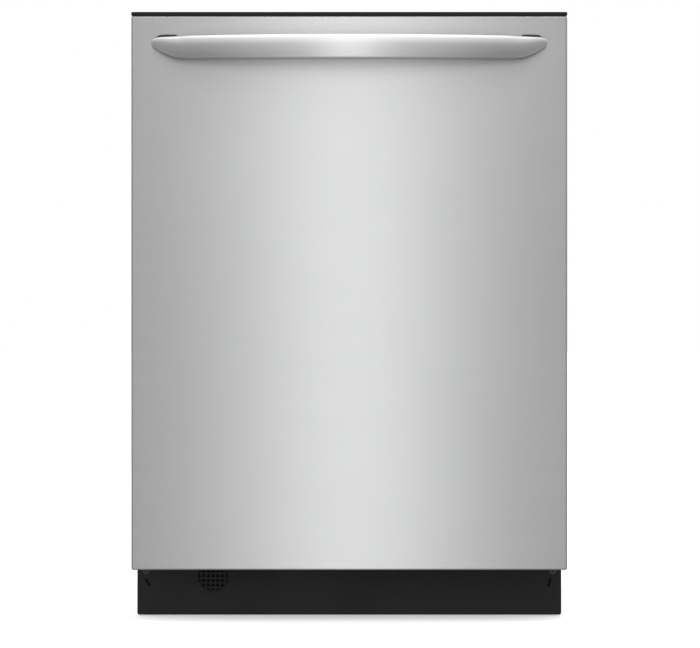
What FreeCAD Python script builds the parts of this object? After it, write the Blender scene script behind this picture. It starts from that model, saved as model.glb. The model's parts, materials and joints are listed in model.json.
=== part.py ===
import FreeCAD, Part
import Sketcher
import math
import os
import re

V = FreeCAD.Vector
doc = FreeCAD.newDocument("Dishwasher")
sheet = doc.addObject("Spreadsheet::Sheet", "Params")

# Sizes in mm. X is across the front, -Y is the front, Z is up.
TABLE = [
    ("door_hw", 304, "half width of the door"),
    ("door_front", -276, "front face of the door"),
    ("door_bottom", 72, "bottom edge of the door"),
    ("skin_top", 844.5, "top of the outer door skin"),
    ("unit_top", 850, "top of the unit"),
    ("skin", 1, "door sheet thickness"),
    ("return_deep", 18, "depth of the side and top returns"),
    ("return_low", 12, "depth of the bottom return"),
    ("corner_out", 3, "outer bend radius of the skin"),
    ("liner_hw", 303, "half width of the liner border"),
    ("liner_back", -218, "tub side of the liner border"),
    ("liner_lo", 80, "bottom of the liner"),
    ("liner_hi", 812, "top of the liner"),
    ("pan_hw", 262, "half width of the raised liner pan"),
    ("pan_lo", 174, "bottom of the pan"),
    ("pan_hi", 788, "top of the pan"),
    ("pan_back", -190, "tub side of the pan"),
    ("hinge_y", -246, "door hinge line"),
    ("hinge_z", 92, "door hinge line"),
    ("pin_rad", 4, "hinge pin"),
    ("pin_bore", 4.06, "hinge pin bore"),
    ("sector_rad", 30, "cable sector"),
    ("cable_rad", 1.25, "spring cable"),
    ("cable_z", 123.6, "height of the cables"),
    ("cable_x", 290, "side position of the cables"),
    ("frame_in", 296, "inner face of the side frame web"),
    ("frame_out", 298, "outer face of the side frame web"),
    ("frame_top", 842, "top of the frame and tub flange"),
    ("leg_x", 280, "leg position across"),
    ("leg_front", -155, "front legs"),
    ("leg_rear", 290, "rear legs"),
    ("leg_rad", 5, "leg screw radius"),
    ("leg_bore", 5.06, "leg boss bore"),
    ("foot_rad", 18, "foot pad radius"),
    ("foot_high", 12, "foot pad height"),
    ("leg_top", 80, "top of the leg screw"),
    ("tub_hw", 279, "half width of the tub cavity"),
    ("tub_front", -212, "front of the tub flange"),
    ("tub_back", 292, "rear wall, inside"),
    ("tub_floor", 158, "tub floor, inside"),
    ("tub_roof", 828, "tub roof, inside"),
    ("tub_wall", 0.8, "tub sheet thickness"),
    ("tub_corner", 16, "tub corner radius, outside"),
    ("basin_hw", 238, "half width of the basin"),
    ("basin_front", -180, "front of the basin"),
    ("basin_back", 262, "back of the basin"),
    ("basin_floor", 146, "floor of the basin"),
    ("sump_y", 40, "centre of the sump"),
    ("sump_rad", 96, "sump bowl, outside"),
    ("sump_in", 92, "sump bowl, inside"),
    ("sump_low", 62, "bottom of the sump"),
    ("hub_rad", 12, "spray arm tower"),
    ("cup_x", 36, "filter cup centre"),
    ("cup_y", 0, "filter cup centre"),
    ("cup_rad", 32, "filter cup radius"),
    ("pump_z", 84, "pump axis height"),
    ("volute_rad", 50, "pump housing radius"),
    ("motor_rad", 45, "motor radius"),
    ("shaft_rad", 6, "pump shaft"),
    ("shaft_bore", 6.06, "shaft bearing"),
    ("arm_low_rad", 225, "lower spray arm reach"),
    ("arm_up_rad", 215, "upper spray arm reach"),
    ("stud_rad", 6, "spray arm stud"),
    ("stud_bore", 6.06, "spray arm bearing"),
    ("toe_hw", 301.5, "half width of the toe kick"),
    ("toe_front", -191, "front of the toe kick"),
    ("toe_lo", 1.5, "bottom of the toe kick"),
    ("toe_hi", 104, "top of the toe kick"),
    ("toe_skin", 2.5, "toe kick thickness"),
    ("vent_x", -193.8, "toe kick vent centre"),
    ("vent_z", 57, "toe kick vent centre"),
    ("vent_pitch", 6.7, "vent hole pitch"),
    ("vent_hole", 4.2, "vent hole side"),
    ("handle_hw", 275.8, "half length of the handle"),
    ("handle_lo", 782.5, "bottom of the handle"),
    ("handle_hi", 816.5, "top of the handle"),
    ("handle_front", -320, "front of the handle"),
    ("handle_tip", -280.5, "front of the handle at its tips"),
    ("handle_seat", -277.5, "back of the handle ends"),
    ("handle_thick", 13, "thickness of the handle"),
    ("up_hw", 262, "half width of the upper rack"),
    ("up_front", -178, "front of the upper rack"),
    ("up_back", 240, "back of the upper rack"),
    ("up_lo", 530, "underside of the upper rack"),
    ("up_hi", 690, "rim of the upper rack"),
    ("low_hw", 250, "half width of the lower rack"),
    ("low_front", -178, "front of the lower rack"),
    ("low_back", 245, "back of the lower rack"),
    ("low_lo", 206, "underside of the lower rack"),
    ("low_hi", 330, "rim of the lower rack"),
    ("wire", 3, "rack wire"),
    ("rail_lo", 630, "outer rail, bottom"),
    ("rail_hi", 655, "outer rail, top"),
    ("rail_front", -195, "rail front end"),
    ("rail_back", 265, "rail back end"),
    ("wheel_rad", 19, "lower rack wheel"),
    ("wheel_z", 177.3, "lower rack axle height"),
    ("axle_rad", 3, "wheel stub axle"),
    ("axle_bore", 3.06, "wheel bore"),
    ("axle_front", -120, "front axle"),
    ("axle_rear", 180, "rear axle"),
    ("shelf_x", 252, "cup shelf pivot"),
    ("shelf_z", 640, "cup shelf pivot"),
    ("shelf_rod", 2.5, "cup shelf rod"),
    ("rod_bore", 2.56, "rod clip bore"),
    ("button_w", 16, "button width"),
    ("button_d", 9, "button depth"),
    ("button_gap", 0.4, "gap round a button"),
    ("panel_y", -247, "centre line of the keys"),
]
ALIAS = {}
for row, (alias, number, note) in enumerate(TABLE, start=1):
    sheet.set("A%d" % row, note)
    sheet.set("B%d" % row, str(number))
    sheet.setAlias("B%d" % row, alias)
    ALIAS[alias] = number
doc.recompute()

WORD = re.compile(r"[A-Za-z_][A-Za-z_0-9]*")


def full(expr):
    return WORD.sub(lambda mo: "Params." + mo.group(0)
                    if mo.group(0) in ALIAS else mo.group(0), str(expr))


def val(expr):
    return float(sheet.evalExpression(full(expr)))


def bind(obj, prop, expr):
    obj.setExpression(prop, full(expr))


COUNT = [0]


def tag(base):
    COUNT[0] += 1
    return "%s_%03d" % (base, COUNT[0])


def box(x0, x1, y0, y1, z0, z1):
    o = doc.addObject("Part::Box", tag("Box"))
    bind(o, "Length", "(%s) - (%s)" % (x1, x0))
    bind(o, "Width", "(%s) - (%s)" % (y1, y0))
    bind(o, "Height", "(%s) - (%s)" % (z1, z0))
    bind(o, "Placement.Base.x", x0)
    bind(o, "Placement.Base.y", y0)
    bind(o, "Placement.Base.z", z0)
    return o


TURN = {"X": FreeCAD.Rotation(V(0, 1, 0), 90),
        "Y": FreeCAD.Rotation(V(1, 0, 0), -90),
        "Z": FreeCAD.Rotation()}


def place(o, axis, c1, c2, lo):
    o.Placement = FreeCAD.Placement(V(0, 0, 0), TURN[axis])
    order = {"X": ("y", "z", "x"), "Y": ("x", "z", "y"), "Z": ("x", "y", "z")}[axis]
    bind(o, "Placement.Base." + order[0], c1)
    bind(o, "Placement.Base." + order[1], c2)
    bind(o, "Placement.Base." + order[2], lo)


def cyl(r, axis, c1, c2, lo, hi):
    o = doc.addObject("Part::Cylinder", tag("Cylinder"))
    bind(o, "Radius", r)
    bind(o, "Height", "(%s) - (%s)" % (hi, lo))
    place(o, axis, c1, c2, lo)
    return o


def cone(r1, r2, axis, c1, c2, lo, hi):
    o = doc.addObject("Part::Cone", tag("Cone"))
    bind(o, "Radius1", r1)
    bind(o, "Radius2", r2)
    bind(o, "Height", "(%s) - (%s)" % (hi, lo))
    place(o, axis, c1, c2, lo)
    return o


def fuse(items, refine=True):
    if len(items) == 1:
        return items[0]
    o = doc.addObject("Part::MultiFuse", tag("Fuse"))
    o.Shapes = list(items)
    o.Refine = refine
    return o


def cut(base, *tools):
    tool = fuse(list(tools)) if len(tools) > 1 else tools[0]
    o = doc.addObject("Part::Cut", tag("Cut"))
    o.Base = base
    o.Tool = tool
    o.Refine = True
    return o


def common(items):
    o = doc.addObject("Part::MultiCommon", tag("Common"))
    o.Shapes = list(items)
    o.Refine = True
    return o


def group(items):
    o = doc.addObject("Part::Compound", tag("Group"))
    o.Links = list(items)
    return o


def mirror(src):
    o = doc.addObject("Part::Mirroring", tag("Mirror"))
    o.Source = src
    o.Base = V(0, 0, 0)
    o.Normal = V(1, 0, 0)
    return o


def pair(src):
    return group([src, mirror(src)])


def sketch_on(body, plane):
    sk = body.newObject("Sketcher::SketchObject", tag("Sketch"))
    ref = [f for f in body.Origin.OriginFeatures if f.Role == plane + "_Plane"][0]
    sk.AttachmentSupport = [(ref, "")]
    sk.MapMode = "FlatFace"
    return sk


def fix_point(sk, geo, pos, u, w):
    k = sk.addConstraint(Sketcher.Constraint("DistanceX", -1, 1, geo, pos, val(u)))
    bind(sk, "Constraints[%d]" % k, u)
    k = sk.addConstraint(Sketcher.Constraint("DistanceY", -1, 1, geo, pos, val(w)))
    bind(sk, "Constraints[%d]" % k, w)


def pad_from(body, sk, plane, lo, hi):
    if plane == "XZ":
        bind(sk, "AttachmentOffset.Base.z", "-(%s)" % hi)
    else:
        bind(sk, "AttachmentOffset.Base.z", lo)
    pad = body.newObject("PartDesign::Pad", tag("Pad"))
    pad.Profile = sk
    pad.Length = 1
    bind(pad, "Length", "(%s) - (%s)" % (hi, lo))
    body.Tip = pad
    return pad


def prism(plane, pts, lo, hi):
    """A polygon sketch padded along the plane's normal from lo to hi."""
    body = doc.addObject("PartDesign::Body", tag("Body"))
    sk = sketch_on(body, plane)
    n = len(pts)
    xy = [V(val(u), val(w), 0) for u, w in pts]
    for i in range(n):
        sk.addGeometry(Part.LineSegment(xy[i], xy[(i + 1) % n]), False)
    for i in range(n):
        sk.addConstraint(Sketcher.Constraint("Coincident", i, 2, (i + 1) % n, 1))
    for i in range(n):
        fix_point(sk, i, 1, pts[i][0], pts[i][1])
    pad_from(body, sk, plane, lo, hi)
    return body


def round_prism(plane, u0, u1, w0, w1, r, lo, hi):
    """A rectangle with rounded corners padded from lo to hi."""
    body = doc.addObject("PartDesign::Body", tag("Body"))
    sk = sketch_on(body, plane)
    a, b, c, d, q = val(u0), val(u1), val(w0), val(w1), val(r)
    lines = [(V(a + q, c, 0), V(b - q, c, 0)), (V(b, c + q, 0), V(b, d - q, 0)),
             (V(b - q, d, 0), V(a + q, d, 0)), (V(a, d - q, 0), V(a, c + q, 0))]
    for p, s in lines:
        sk.addGeometry(Part.LineSegment(p, s), False)
    mids = [(b - q, c + q, -90), (b - q, d - q, 0), (a + q, d - q, 90), (a + q, c + q, 180)]
    for mx, my, ang in mids:
        arc = Part.ArcOfCircle(Part.Circle(V(mx, my, 0), V(0, 0, 1), q),
                               math.radians(ang), math.radians(ang + 90))
        sk.addGeometry(arc, False)
    for i in range(4):
        sk.addConstraint(Sketcher.Constraint("Tangent", i, 2, 4 + i, 1))
        sk.addConstraint(Sketcher.Constraint("Tangent", 4 + i, 2, (i + 1) % 4, 1))
    sk.addConstraint(Sketcher.Constraint("Horizontal", 0))
    sk.addConstraint(Sketcher.Constraint("Vertical", 1))
    for i in range(1, 4):
        sk.addConstraint(Sketcher.Constraint("Equal", 4, 4 + i))
    k = sk.addConstraint(Sketcher.Constraint("Radius", 4, q))
    bind(sk, "Constraints[%d]" % k, r)
    for kind, geo, pos, e in (("DistanceY", 0, 1, w0), ("DistanceX", 1, 1, u1),
                              ("DistanceY", 2, 1, w1), ("DistanceX", 3, 1, u0)):
        k = sk.addConstraint(Sketcher.Constraint(kind, -1, 1, geo, pos, val(e)))
        bind(sk, "Constraints[%d]" % k, e)
    pad_from(body, sk, plane, lo, hi)
    return body


def round_edges(body, pick, r):
    """Fillet the edges of the body's tip that pick(edge) accepts."""
    doc.recompute()
    tip = body.Tip
    names = ["Edge%d" % (i + 1) for i, e in enumerate(tip.Shape.Edges) if pick(e)]
    f = body.newObject("PartDesign::Fillet", tag("Fillet"))
    f.Base = (tip, names)
    f.Radius = val(r)
    bind(f, "Radius", r)
    body.Tip = f
    return body


def on_plane(axis, at, tol=0.01):
    def pick(e):
        bb = e.BoundBox
        lo, hi = {"X": (bb.XMin, bb.XMax), "Y": (bb.YMin, bb.YMax), "Z": (bb.ZMin, bb.ZMax)}[axis]
        return abs(lo - at) < tol and abs(hi - at) < tol
    return pick


def path_of(pts, name):
    """Straight runs joined by tangent arcs, radius 0.45 x shorter run / tan(half turn)."""
    p = [V(*q) for q in pts]
    trims = [0.0] * len(p)
    rads = [0.0] * len(p)
    for i in range(1, len(p) - 1):
        a, b = p[i] - p[i - 1], p[i + 1] - p[i]
        turn = a.getAngle(b)
        r = 0.45 * min(a.Length, b.Length) / math.tan(turn / 2)
        rads[i] = r
        trims[i] = r * math.tan(turn / 2)
    edges = []
    start = p[0]
    for i in range(1, len(p)):
        d = (p[i] - p[i - 1]).normalize()
        end = p[i] - d * trims[i]
        edges.append(Part.makeLine(start, end))
        if i < len(p) - 1:
            d2 = (p[i + 1] - p[i]).normalize()
            leave = p[i] + d2 * trims[i]
            into = (d2 - d).normalize()
            gap = math.sqrt(rads[i] ** 2 + trims[i] ** 2) - rads[i]
            edges.append(Part.Arc(end, p[i] + into * gap, leave).toShape())
            start = leave
    o = doc.addObject("Part::Feature", tag(name))
    o.Shape = Part.Wire(edges)
    return o


def sweep(pts, r, name="Path"):
    path = path_of(pts, name)
    ring = doc.addObject("Part::Circle", tag("Ring"))
    bind(ring, "Radius", r)
    d = V(*pts[1]) - V(*pts[0])
    ring.Placement = FreeCAD.Placement(V(*pts[0]), FreeCAD.Rotation(V(0, 0, 1), d))
    o = doc.addObject("Part::Sweep", tag("Sweep"))
    o.Sections = [ring]
    o.Spine = (path, ["Edge%d" % (i + 1) for i in range(len(path.Shape.Edges))])
    o.Solid = True
    o.Frenet = False
    return o


def bars(kind, places, lo, hi, w0, w1, skinny="wire"):
    """Boxes along one axis: kind is (run axis, step axis, flat axis)."""
    run, step, flat = kind
    out = []
    for s0 in places:
        lim = {run: (lo, hi), step: (s0, "(%s) + %s" % (s0, skinny)), flat: (w0, w1)}
        out.append(box(lim["X"][0], lim["X"][1], lim["Y"][0], lim["Y"][1],
                       lim["Z"][0], lim["Z"][1]))
    return out


def steps(lo, hi, n):
    """n start positions spread between lo and hi for bars one wire wide."""
    return ["(%s) + %d*((%s) - (%s) - wire)/%d" % (lo, i, hi, lo, n - 1) for i in range(n)]


PARTS = []


def node(name, obj):
    PARTS.append((name, obj))
    return obj


# ---------------------------------------------------------------- fixed body
# Tub: deep drawn stainless box, open to the front, with a basin in its floor.
tub_out = round_prism("XZ", "-tub_hw - tub_wall", "tub_hw + tub_wall", "tub_floor - tub_wall",
                      "tub_roof + tub_wall", "tub_corner", "tub_front", "tub_back + tub_wall")
round_edges(tub_out, on_plane("Y", val("tub_back + tub_wall")), "tub_corner - 6")
tub_in = round_prism("XZ", "-tub_hw", "tub_hw", "tub_floor", "tub_roof",
                     "tub_corner - tub_wall", "tub_front - 5", "tub_back")
round_edges(tub_in, on_plane("Y", val("tub_back")), "tub_corner - 6 - tub_wall")
basin_out = round_prism("XY", "-basin_hw - tub_wall", "basin_hw + tub_wall",
                        "basin_front - tub_wall", "basin_back + tub_wall", "tub_corner",
                        "basin_floor - tub_wall", "tub_floor")
basin_in = round_prism("XY", "-basin_hw", "basin_hw", "basin_front", "basin_back",
                       "tub_corner - tub_wall", "basin_floor", "tub_floor + 3")
flange = round_prism("XZ", "-frame_in", "frame_in", "basin_floor", "frame_top", "4",
                     "tub_front", "tub_front + tub_wall")
shell_tub = cut(fuse([tub_out, basin_out, flange]), tub_in, basin_in)
tub = cut(fuse([shell_tub, cyl("8", "Z", "-200", "-145", "basin_floor - tub_wall", "175.7")]),
          cyl("sump_in", "Z", "0", "sump_y", "basin_floor - 5", "basin_floor + 3"),
          cyl("4.5", "Z", "-200", "-145", "basin_floor - 5", "basin_floor + 40"),
          cyl("5", "Z", "-25", "200", "basin_floor - 5", "basin_floor + 3"),
          cyl("5", "Z", "25", "200", "basin_floor - 5", "basin_floor + 3"),
          cyl("8", "Z", "0", "281", "tub_floor - 5", "tub_floor + 3"),
          cyl("6", "X", "120", "210", "-tub_hw - 5", "-tub_hw + 3"))
node("tub", tub)

blanket_out = box("-tub_hw - tub_wall - 7", "tub_hw + tub_wall + 7", "-195", "285",
                  "240", "tub_roof + tub_wall + 7")
blanket = cut(blanket_out, box("-tub_hw - tub_wall", "tub_hw + tub_wall", "-200", "290",
                               "235", "tub_roof + tub_wall"))
node("sound_blanket", blanket)

# Side frames: bent steel web with a front flange, a foot flange and leg bosses.
web = prism("YZ", [("-209.5", "frame_top"), ("-209.5", "165"), ("-254", "104"), ("-258", "92"),
                   ("-252", "82"), ("-240", "80"), ("-206", "112"), ("-174", "112"),
                   ("-174", "22"), ("320", "22"), ("320", "220"), ("284", "220"),
                   ("284", "72"), ("80", "72"), ("80", "136"), ("60", "136"), ("60", "72"), ("-128", "72"), ("-170", "130"), ("-170", "frame_top")],
            "frame_in", "frame_out")
side = fuse([web,
             box("281", "frame_out", "tub_front + tub_wall", "-209.5", "165", "frame_top"),
             box("262", "frame_in", "-174", "320", "22", "24"),
             box("280", "frame_out", "-176", "-174", "54", "74"),
             box("284", "frame_out", "60", "62", "113", "136"),
             cyl("10", "Z", "leg_x", "leg_front", "22", "40"),
             cyl("10", "Z", "leg_x", "leg_rear", "22", "40")])
side = cut(side, cyl("pin_bore", "X", "hinge_y", "hinge_z", "frame_in - 2", "frame_out + 2"),
           cyl("leg_bore", "Z", "leg_x", "leg_front", "10", "50"),
           cyl("leg_bore", "Z", "leg_x", "leg_rear", "10", "50"),
           cyl("2.3", "Y", "289", "64", "-180", "-170"))
node("side_frames", pair(side))

rail_a = fuse([box("-frame_in", "frame_in", "-140", "-115", "24", "26"),
               box("-frame_in", "frame_in", "-117", "-115", "24", "50")])
rail_b = fuse([box("-frame_in", "frame_in", "240", "265", "24", "26"),
               box("-frame_in", "frame_in", "240", "242", "24", "50")])
node("cross_rails", group([rail_a, rail_b]))

bracket = cut(fuse([box("200", "270", "tub_front + tub_wall", "-150", "846", "848"),
                    box("220", "250", "tub_front + tub_wall", "-209.7", "832", "846")]),
              cyl("2.5", "Z", "215", "-168", "840", "855"),
              cyl("2.5", "Z", "255", "-168", "840", "855"))
node("countertop_brackets", pair(bracket))

# Toe kick: shallow tray with a vent grid and two slanted adjusting slots.
toe_out = round_prism("XZ", "-toe_hw", "toe_hw", "toe_lo", "toe_hi", "3",
                      "toe_front", "toe_front + 12")
toe_in = box("-toe_hw + toe_skin", "toe_hw - toe_skin", "toe_front + toe_skin", "toe_front + 15",
             "toe_lo + toe_skin", "toe_hi - toe_skin")
toe_bosses = [cyl("6", "Y", sx + "289", "64", "toe_front + toe_skin", "-176") for sx in ("-", "")]
toe = fuse([cut(toe_out, toe_in)] + toe_bosses)
toe_cuts = [cyl("2.4", "Y", sx + "289", "64", "toe_front - 3", "-170") for sx in ("-", "")]
for i in range(-3, 4):
    for j in range(-3, 4):
        if i * i + j * j <= 10:
            toe_cuts.append(box("vent_x + %d*vent_pitch - vent_hole/2" % i,
                                "vent_x + %d*vent_pitch + vent_hole/2" % i,
                                "toe_front - 3", "toe_front + 5",
                                "vent_z + %d*vent_pitch - vent_hole/2" % j,
                                "vent_z + %d*vent_pitch + vent_hole/2" % j))
for sx, lean in ((-1, 35), (1, -15)):
    slot = doc.addObject("Part::Box", tag("Slot"))
    slot.Length, slot.Width, slot.Height = 3.2, 10, 12
    bind(slot, "Length", "vent_hole - 1")
    slot.Placement = FreeCAD.Placement(V(sx * 283 - 1.6, -195, 42), FreeCAD.Rotation(V(0, 1, 0), -lean))
    toe_cuts.append(slot)
node("toe_kick", cut(toe, *toe_cuts))

screw_list = []
for sx in ("-", ""):
    screw_list.append(fuse([cyl("2.1", "Y", sx + "289", "64", "toe_front", "-168"),
                            cyl("5", "Y", sx + "289", "64", "toe_front - 2", "toe_front")]))
node("frame_screws", group(screw_list))

# Door seal round the top and the sides of the tub mouth.
seal = cut(box("-tub_hw - 13", "tub_hw + 13", "tub_front - 5.5", "tub_front", "150", "tub_roof + 6"),
           box("-tub_hw - 1", "tub_hw + 1", "tub_front - 8", "tub_front + 3", "140", "tub_roof + 1"))
node("tub_gasket", seal)

strike = fuse([box("-20", "20", "tub_front - 2", "tub_front", "834.5", "841"),
               box("-12", "12", "-240", "tub_front - 2", "836", "838")])
node("latch_strike", strike)

# Sump bowl under the tub with the spray arm tower and the pump ports.
sump = fuse([cyl("sump_rad", "Z", "0", "sump_y", "sump_low", "basin_floor - tub_wall"),
             cyl("sump_rad + 16", "Z", "0", "sump_y", "141", "basin_floor - tub_wall"),
             cyl("14", "X", "sump_y", "pump_z", "-100", "100")])
sump = cut(sump, cyl("sump_in", "Z", "0", "sump_y", "sump_low + 4", "150"),
           cyl("11", "X", "sump_y", "pump_z", "-105", "105"))
sump = fuse([sump, cyl("hub_rad", "Z", "0", "sump_y", "sump_low + 2", "178"),
             cyl("stud_rad", "Z", "0", "sump_y", "178", "194")])
node("sump", sump)

hose_pts = [(112, 70, 118), (112, 281, 118), (0, 281, 118), (0, 281, 140)]
volute = fuse([cyl("volute_rad", "X", "sump_y", "pump_z", "100", "125"), sweep(hose_pts, "9")])
volute = cut(volute, cyl("volute_rad - 6", "X", "sump_y", "pump_z", "102.5", "122.5"),
             cyl("11", "X", "sump_y", "pump_z", "95", "110"),
             cyl("shaft_bore", "X", "sump_y", "pump_z", "120", "130"),
             cyl("6.5", "Y", "112", "118", "62", "72"), sweep(hose_pts, "6.5"))
node("wash_pump", volute)

motor = cut(fuse([cyl("motor_rad", "X", "sump_y", "pump_z", "125", "225"),
                  box("150", "190", "sump_y - 14", "sump_y + 14", "pump_z + 38", "pump_z + 52")]),
            cyl("20", "X", "sump_y", "pump_z", "130", "212"),
            cyl("shaft_rad + 1", "X", "sump_y", "pump_z", "120", "135"),
            cyl("shaft_bore", "X", "sump_y", "pump_z", "210", "218"))
node("wash_motor", motor)

drain = fuse([cyl("30", "X", "sump_y", "pump_z", "-125", "-100"),
              cyl("24", "X", "sump_y", "pump_z", "-175", "-125"),
              cyl("10.5", "Y", "-112", "66", "sump_y + 10", "102"),
              cyl("9", "Y", "-112", "66", "102", "150"),
              cyl("12", "Y", "-112", "66", "100", "104")])
drain = cut(drain, cyl("26", "X", "sump_y", "pump_z", "-122", "-103"),
            cyl("11", "X", "sump_y", "pump_z", "-110", "-95"),
            cyl("6", "Y", "-112", "66", "sump_y + 8", "155"))
node("drain_pump", drain)

valve = cut(fuse([box("-250", "-212", "100", "140", "45", "85"),
                  cyl("13", "Y", "-231", "65", "140", "156"),
                  cyl("8", "Z", "-231", "120", "85", "102"),
                  box("-290", "-207", "104", "136", "24", "27"),
                  box("-246", "-216", "106", "134", "26", "46")]),
            cyl("8.3", "Y", "-231", "65", "142", "160"),
            cyl("5", "Y", "-231", "65", "120", "145"))
node("inlet_valve", valve)

fill = fuse([sweep([(-250, 120, 65), (-288, 120, 65), (-288, 120, 195)], "4.5"),
             box("-294", "-tub_hw - tub_wall", "108", "132", "195", "225"),
             cyl("5.9", "X", "120", "210", "-290", "-tub_hw + 2")])
node("fill_hose", fill)

jbox = cut(box("200", "260", "-155", "-95", "50", "105"),
           box("202", "258", "-153", "-97", "52", "110"),
           cyl("11", "Y", "245", "78", "-105", "-90"))
node("junction_box", jbox)

element = sweep([(-25, 200, 130), (-25, 200, 165), (-190, 200, 165), (-190, -120, 165),
                 (190, -120, 165), (190, 200, 165), (25, 200, 165), (25, 200, 130)], "4")
element = fuse([element] + [cyl("8", "Z", x, "200", "139", "basin_floor - tub_wall") for x in ("-25", "25")])
node("heating_element", element)

screen = cut(cyl("104", "Z", "0", "sump_y", "basin_floor", "basin_floor + 2"),
             cyl("hub_rad + 1.5", "Z", "0", "sump_y", "140", "155"),
             cyl("cup_rad + 2", "Z", "cup_x", "cup_y", "140", "155"))
node("flat_filter", screen)

# Water riser on the rear wall, a docking nozzle, the roof branch and its spray head.
riser = fuse([box("-14", "14", "276", "tub_back", "168", "806"),
              box("-14", "14", "60", "tub_back", "804", "818"),
              cyl("45", "Z", "0", "60", "794", "818"),
              cyl("11", "Y", "0", "513", "250", "278"),
              cyl("7", "Z", "0", "281", "140", "170")])
riser = cut(riser, box("-11", "11", "278.5", "289.5", "171", "815.5"),
            box("-11", "11", "65", "289.5", "806.5", "815.5"),
            cyl("38", "Z", "0", "60", "797", "815"),
            cyl("8", "Y", "0", "513", "245", "282"),
            cyl("4.5", "Z", "0", "281", "135", "175"))
for i in range(6):
    a = math.radians(60 * i)
    riser = cut(riser, cyl("3", "Z", "%.4f" % (26 * math.cos(a)), "60 + %.4f" % (26 * math.sin(a)),
                           "790", "800"))
node("feed_tube", riser)

outer = fuse([box("277.5", "tub_hw", "rail_front", "rail_back", "rail_lo", "rail_hi"),
              box("271.5", "277.5", "rail_front", "rail_back", "rail_lo", "rail_lo + 2"),
              box("271.5", "277.5", "rail_front", "rail_back", "rail_hi - 2", "rail_hi")])
node("outer_rails", pair(outer))

spring = cyl("5.5", "Y", "cable_x", "cable_z", "-120", "60")
node("door_springs", pair(spring))

# ---------------------------------------------------------------- moving, inside
rotor = fuse([cyl("40", "X", "sump_y", "pump_z", "104", "114"),
              cyl("shaft_rad", "X", "sump_y", "pump_z", "104", "217"),
              cyl("19", "X", "sump_y", "pump_z", "140", "205")])
rotor = cut(rotor, cyl("9", "X", "sump_y", "pump_z", "103", "110"))
node("pump_rotor", rotor)

dome = cut(fuse([cyl("22", "Z", "-200", "-145", "160", "178"),
                 cone("22", "14", "Z", "-200", "-145", "178", "186"),
                 cyl("3.2", "Z", "-200", "-145", "118", "162")]),
           cut(cyl("20", "Z", "-200", "-145", "155", "176"),
               cyl("3.2", "Z", "-200", "-145", "150", "180")))
node("float", dome)

cup = cut(fuse([cyl("cup_rad", "Z", "cup_x", "cup_y", "100", "154")]),
          cyl("cup_rad - 2", "Z", "cup_x", "cup_y", "103", "160"))
cup = fuse([cup, box("cup_x - cup_rad + 1", "cup_x + cup_rad - 1", "cup_y - 2", "cup_y + 2", "140", "158")])
node("filter_cup", cup)


def spray_arm(reach, z0, z1, bore_lo, bore_hi, hub):
    e = {"q": reach}
    blade = prism("XY", [("-(%(q)s) + 12" % e, "sump_y - 10"), ("-70", "sump_y - 19"),
                         ("70", "sump_y - 19"), ("(%(q)s) - 12" % e, "sump_y - 10"),
                         ("%(q)s" % e, "sump_y - 4"), ("%(q)s" % e, "sump_y + 5"),
                         ("(%(q)s) - 14" % e, "sump_y + 14"), ("70", "sump_y + 19"),
                         ("-70", "sump_y + 19"), ("-(%(q)s) + 14" % e, "sump_y + 14"),
                         ("-(%(q)s)" % e, "sump_y + 5"), ("-(%(q)s)" % e, "sump_y - 4")],
                  "(%s) + 2" % z0, "(%s) - 2" % z1)
    arm = fuse([blade, cyl(hub, "Z", "0", "sump_y", z0, z1)])
    holes = [cyl("stud_bore", "Z", "0", "sump_y", bore_lo, bore_hi)]
    for k, x in enumerate((-200, -165, -125, -85, 60, 100, 145, 185)):
        holes.append(cyl("1.6", "Z", "%d" % x, "sump_y + %d" % (5 if k % 2 else -5),
                         "(%s) - 5" % z1, "(%s) + 5" % z1))
    return cut(arm, *holes)


node("lower_spray_arm", spray_arm("arm_low_rad", "180", "198", "175", "195", "22"))

middle = fuse([box("275.5", "277", "rail_front", "rail_back", "rail_lo + 2.4", "rail_hi - 2.4"),
               box("269.5", "275.5", "rail_front", "rail_back", "rail_lo + 2.4", "rail_lo + 4.4"),
               box("269.5", "275.5", "rail_front", "rail_back", "rail_hi - 4.4", "rail_hi - 2.4")])
node("middle_rails", pair(middle))


def basket(hw, y0, y1, z0, z1, nx, ny, rims):
    """Floor grid, two side walls, a front and a back wall, all of square wire."""
    xs = steps("-" + hw, hw, nx)
    ys = steps(y0, y1, ny)
    top = "%s + wire" % z0
    floor = fuse(bars("YXZ", xs, y0, y1, z0, top) + bars("XYZ", ys, "-" + hw, hw, z0, top))
    walls = []
    right = fuse(bars("ZYX", ys, top, z1, "%s - wire" % hw, hw) +
                 bars("YZX", rims, y0, y1, "%s - wire" % hw, hw))
    walls += [right, mirror(right)]
    inner = "%s - wire" % hw
    for w0 in (y0, "%s - wire" % y1):
        walls.append(fuse(bars("ZXY", xs[1:-1], top, z1, w0, "%s + wire" % w0) +
                          bars("XZY", rims, "-(%s)" % inner, inner, w0, "%s + wire" % w0)))
    return [floor] + walls


def comb(x, y0, y1, z0, z1, n):
    rail = box(x, "(%s) + wire" % x, y0, y1, z0, "(%s) + wire" % z0)
    return fuse([rail] + bars("ZYX", steps(y0, y1, n), "(%s) + wire" % z0, z1, x, "(%s) + wire" % x))


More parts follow.
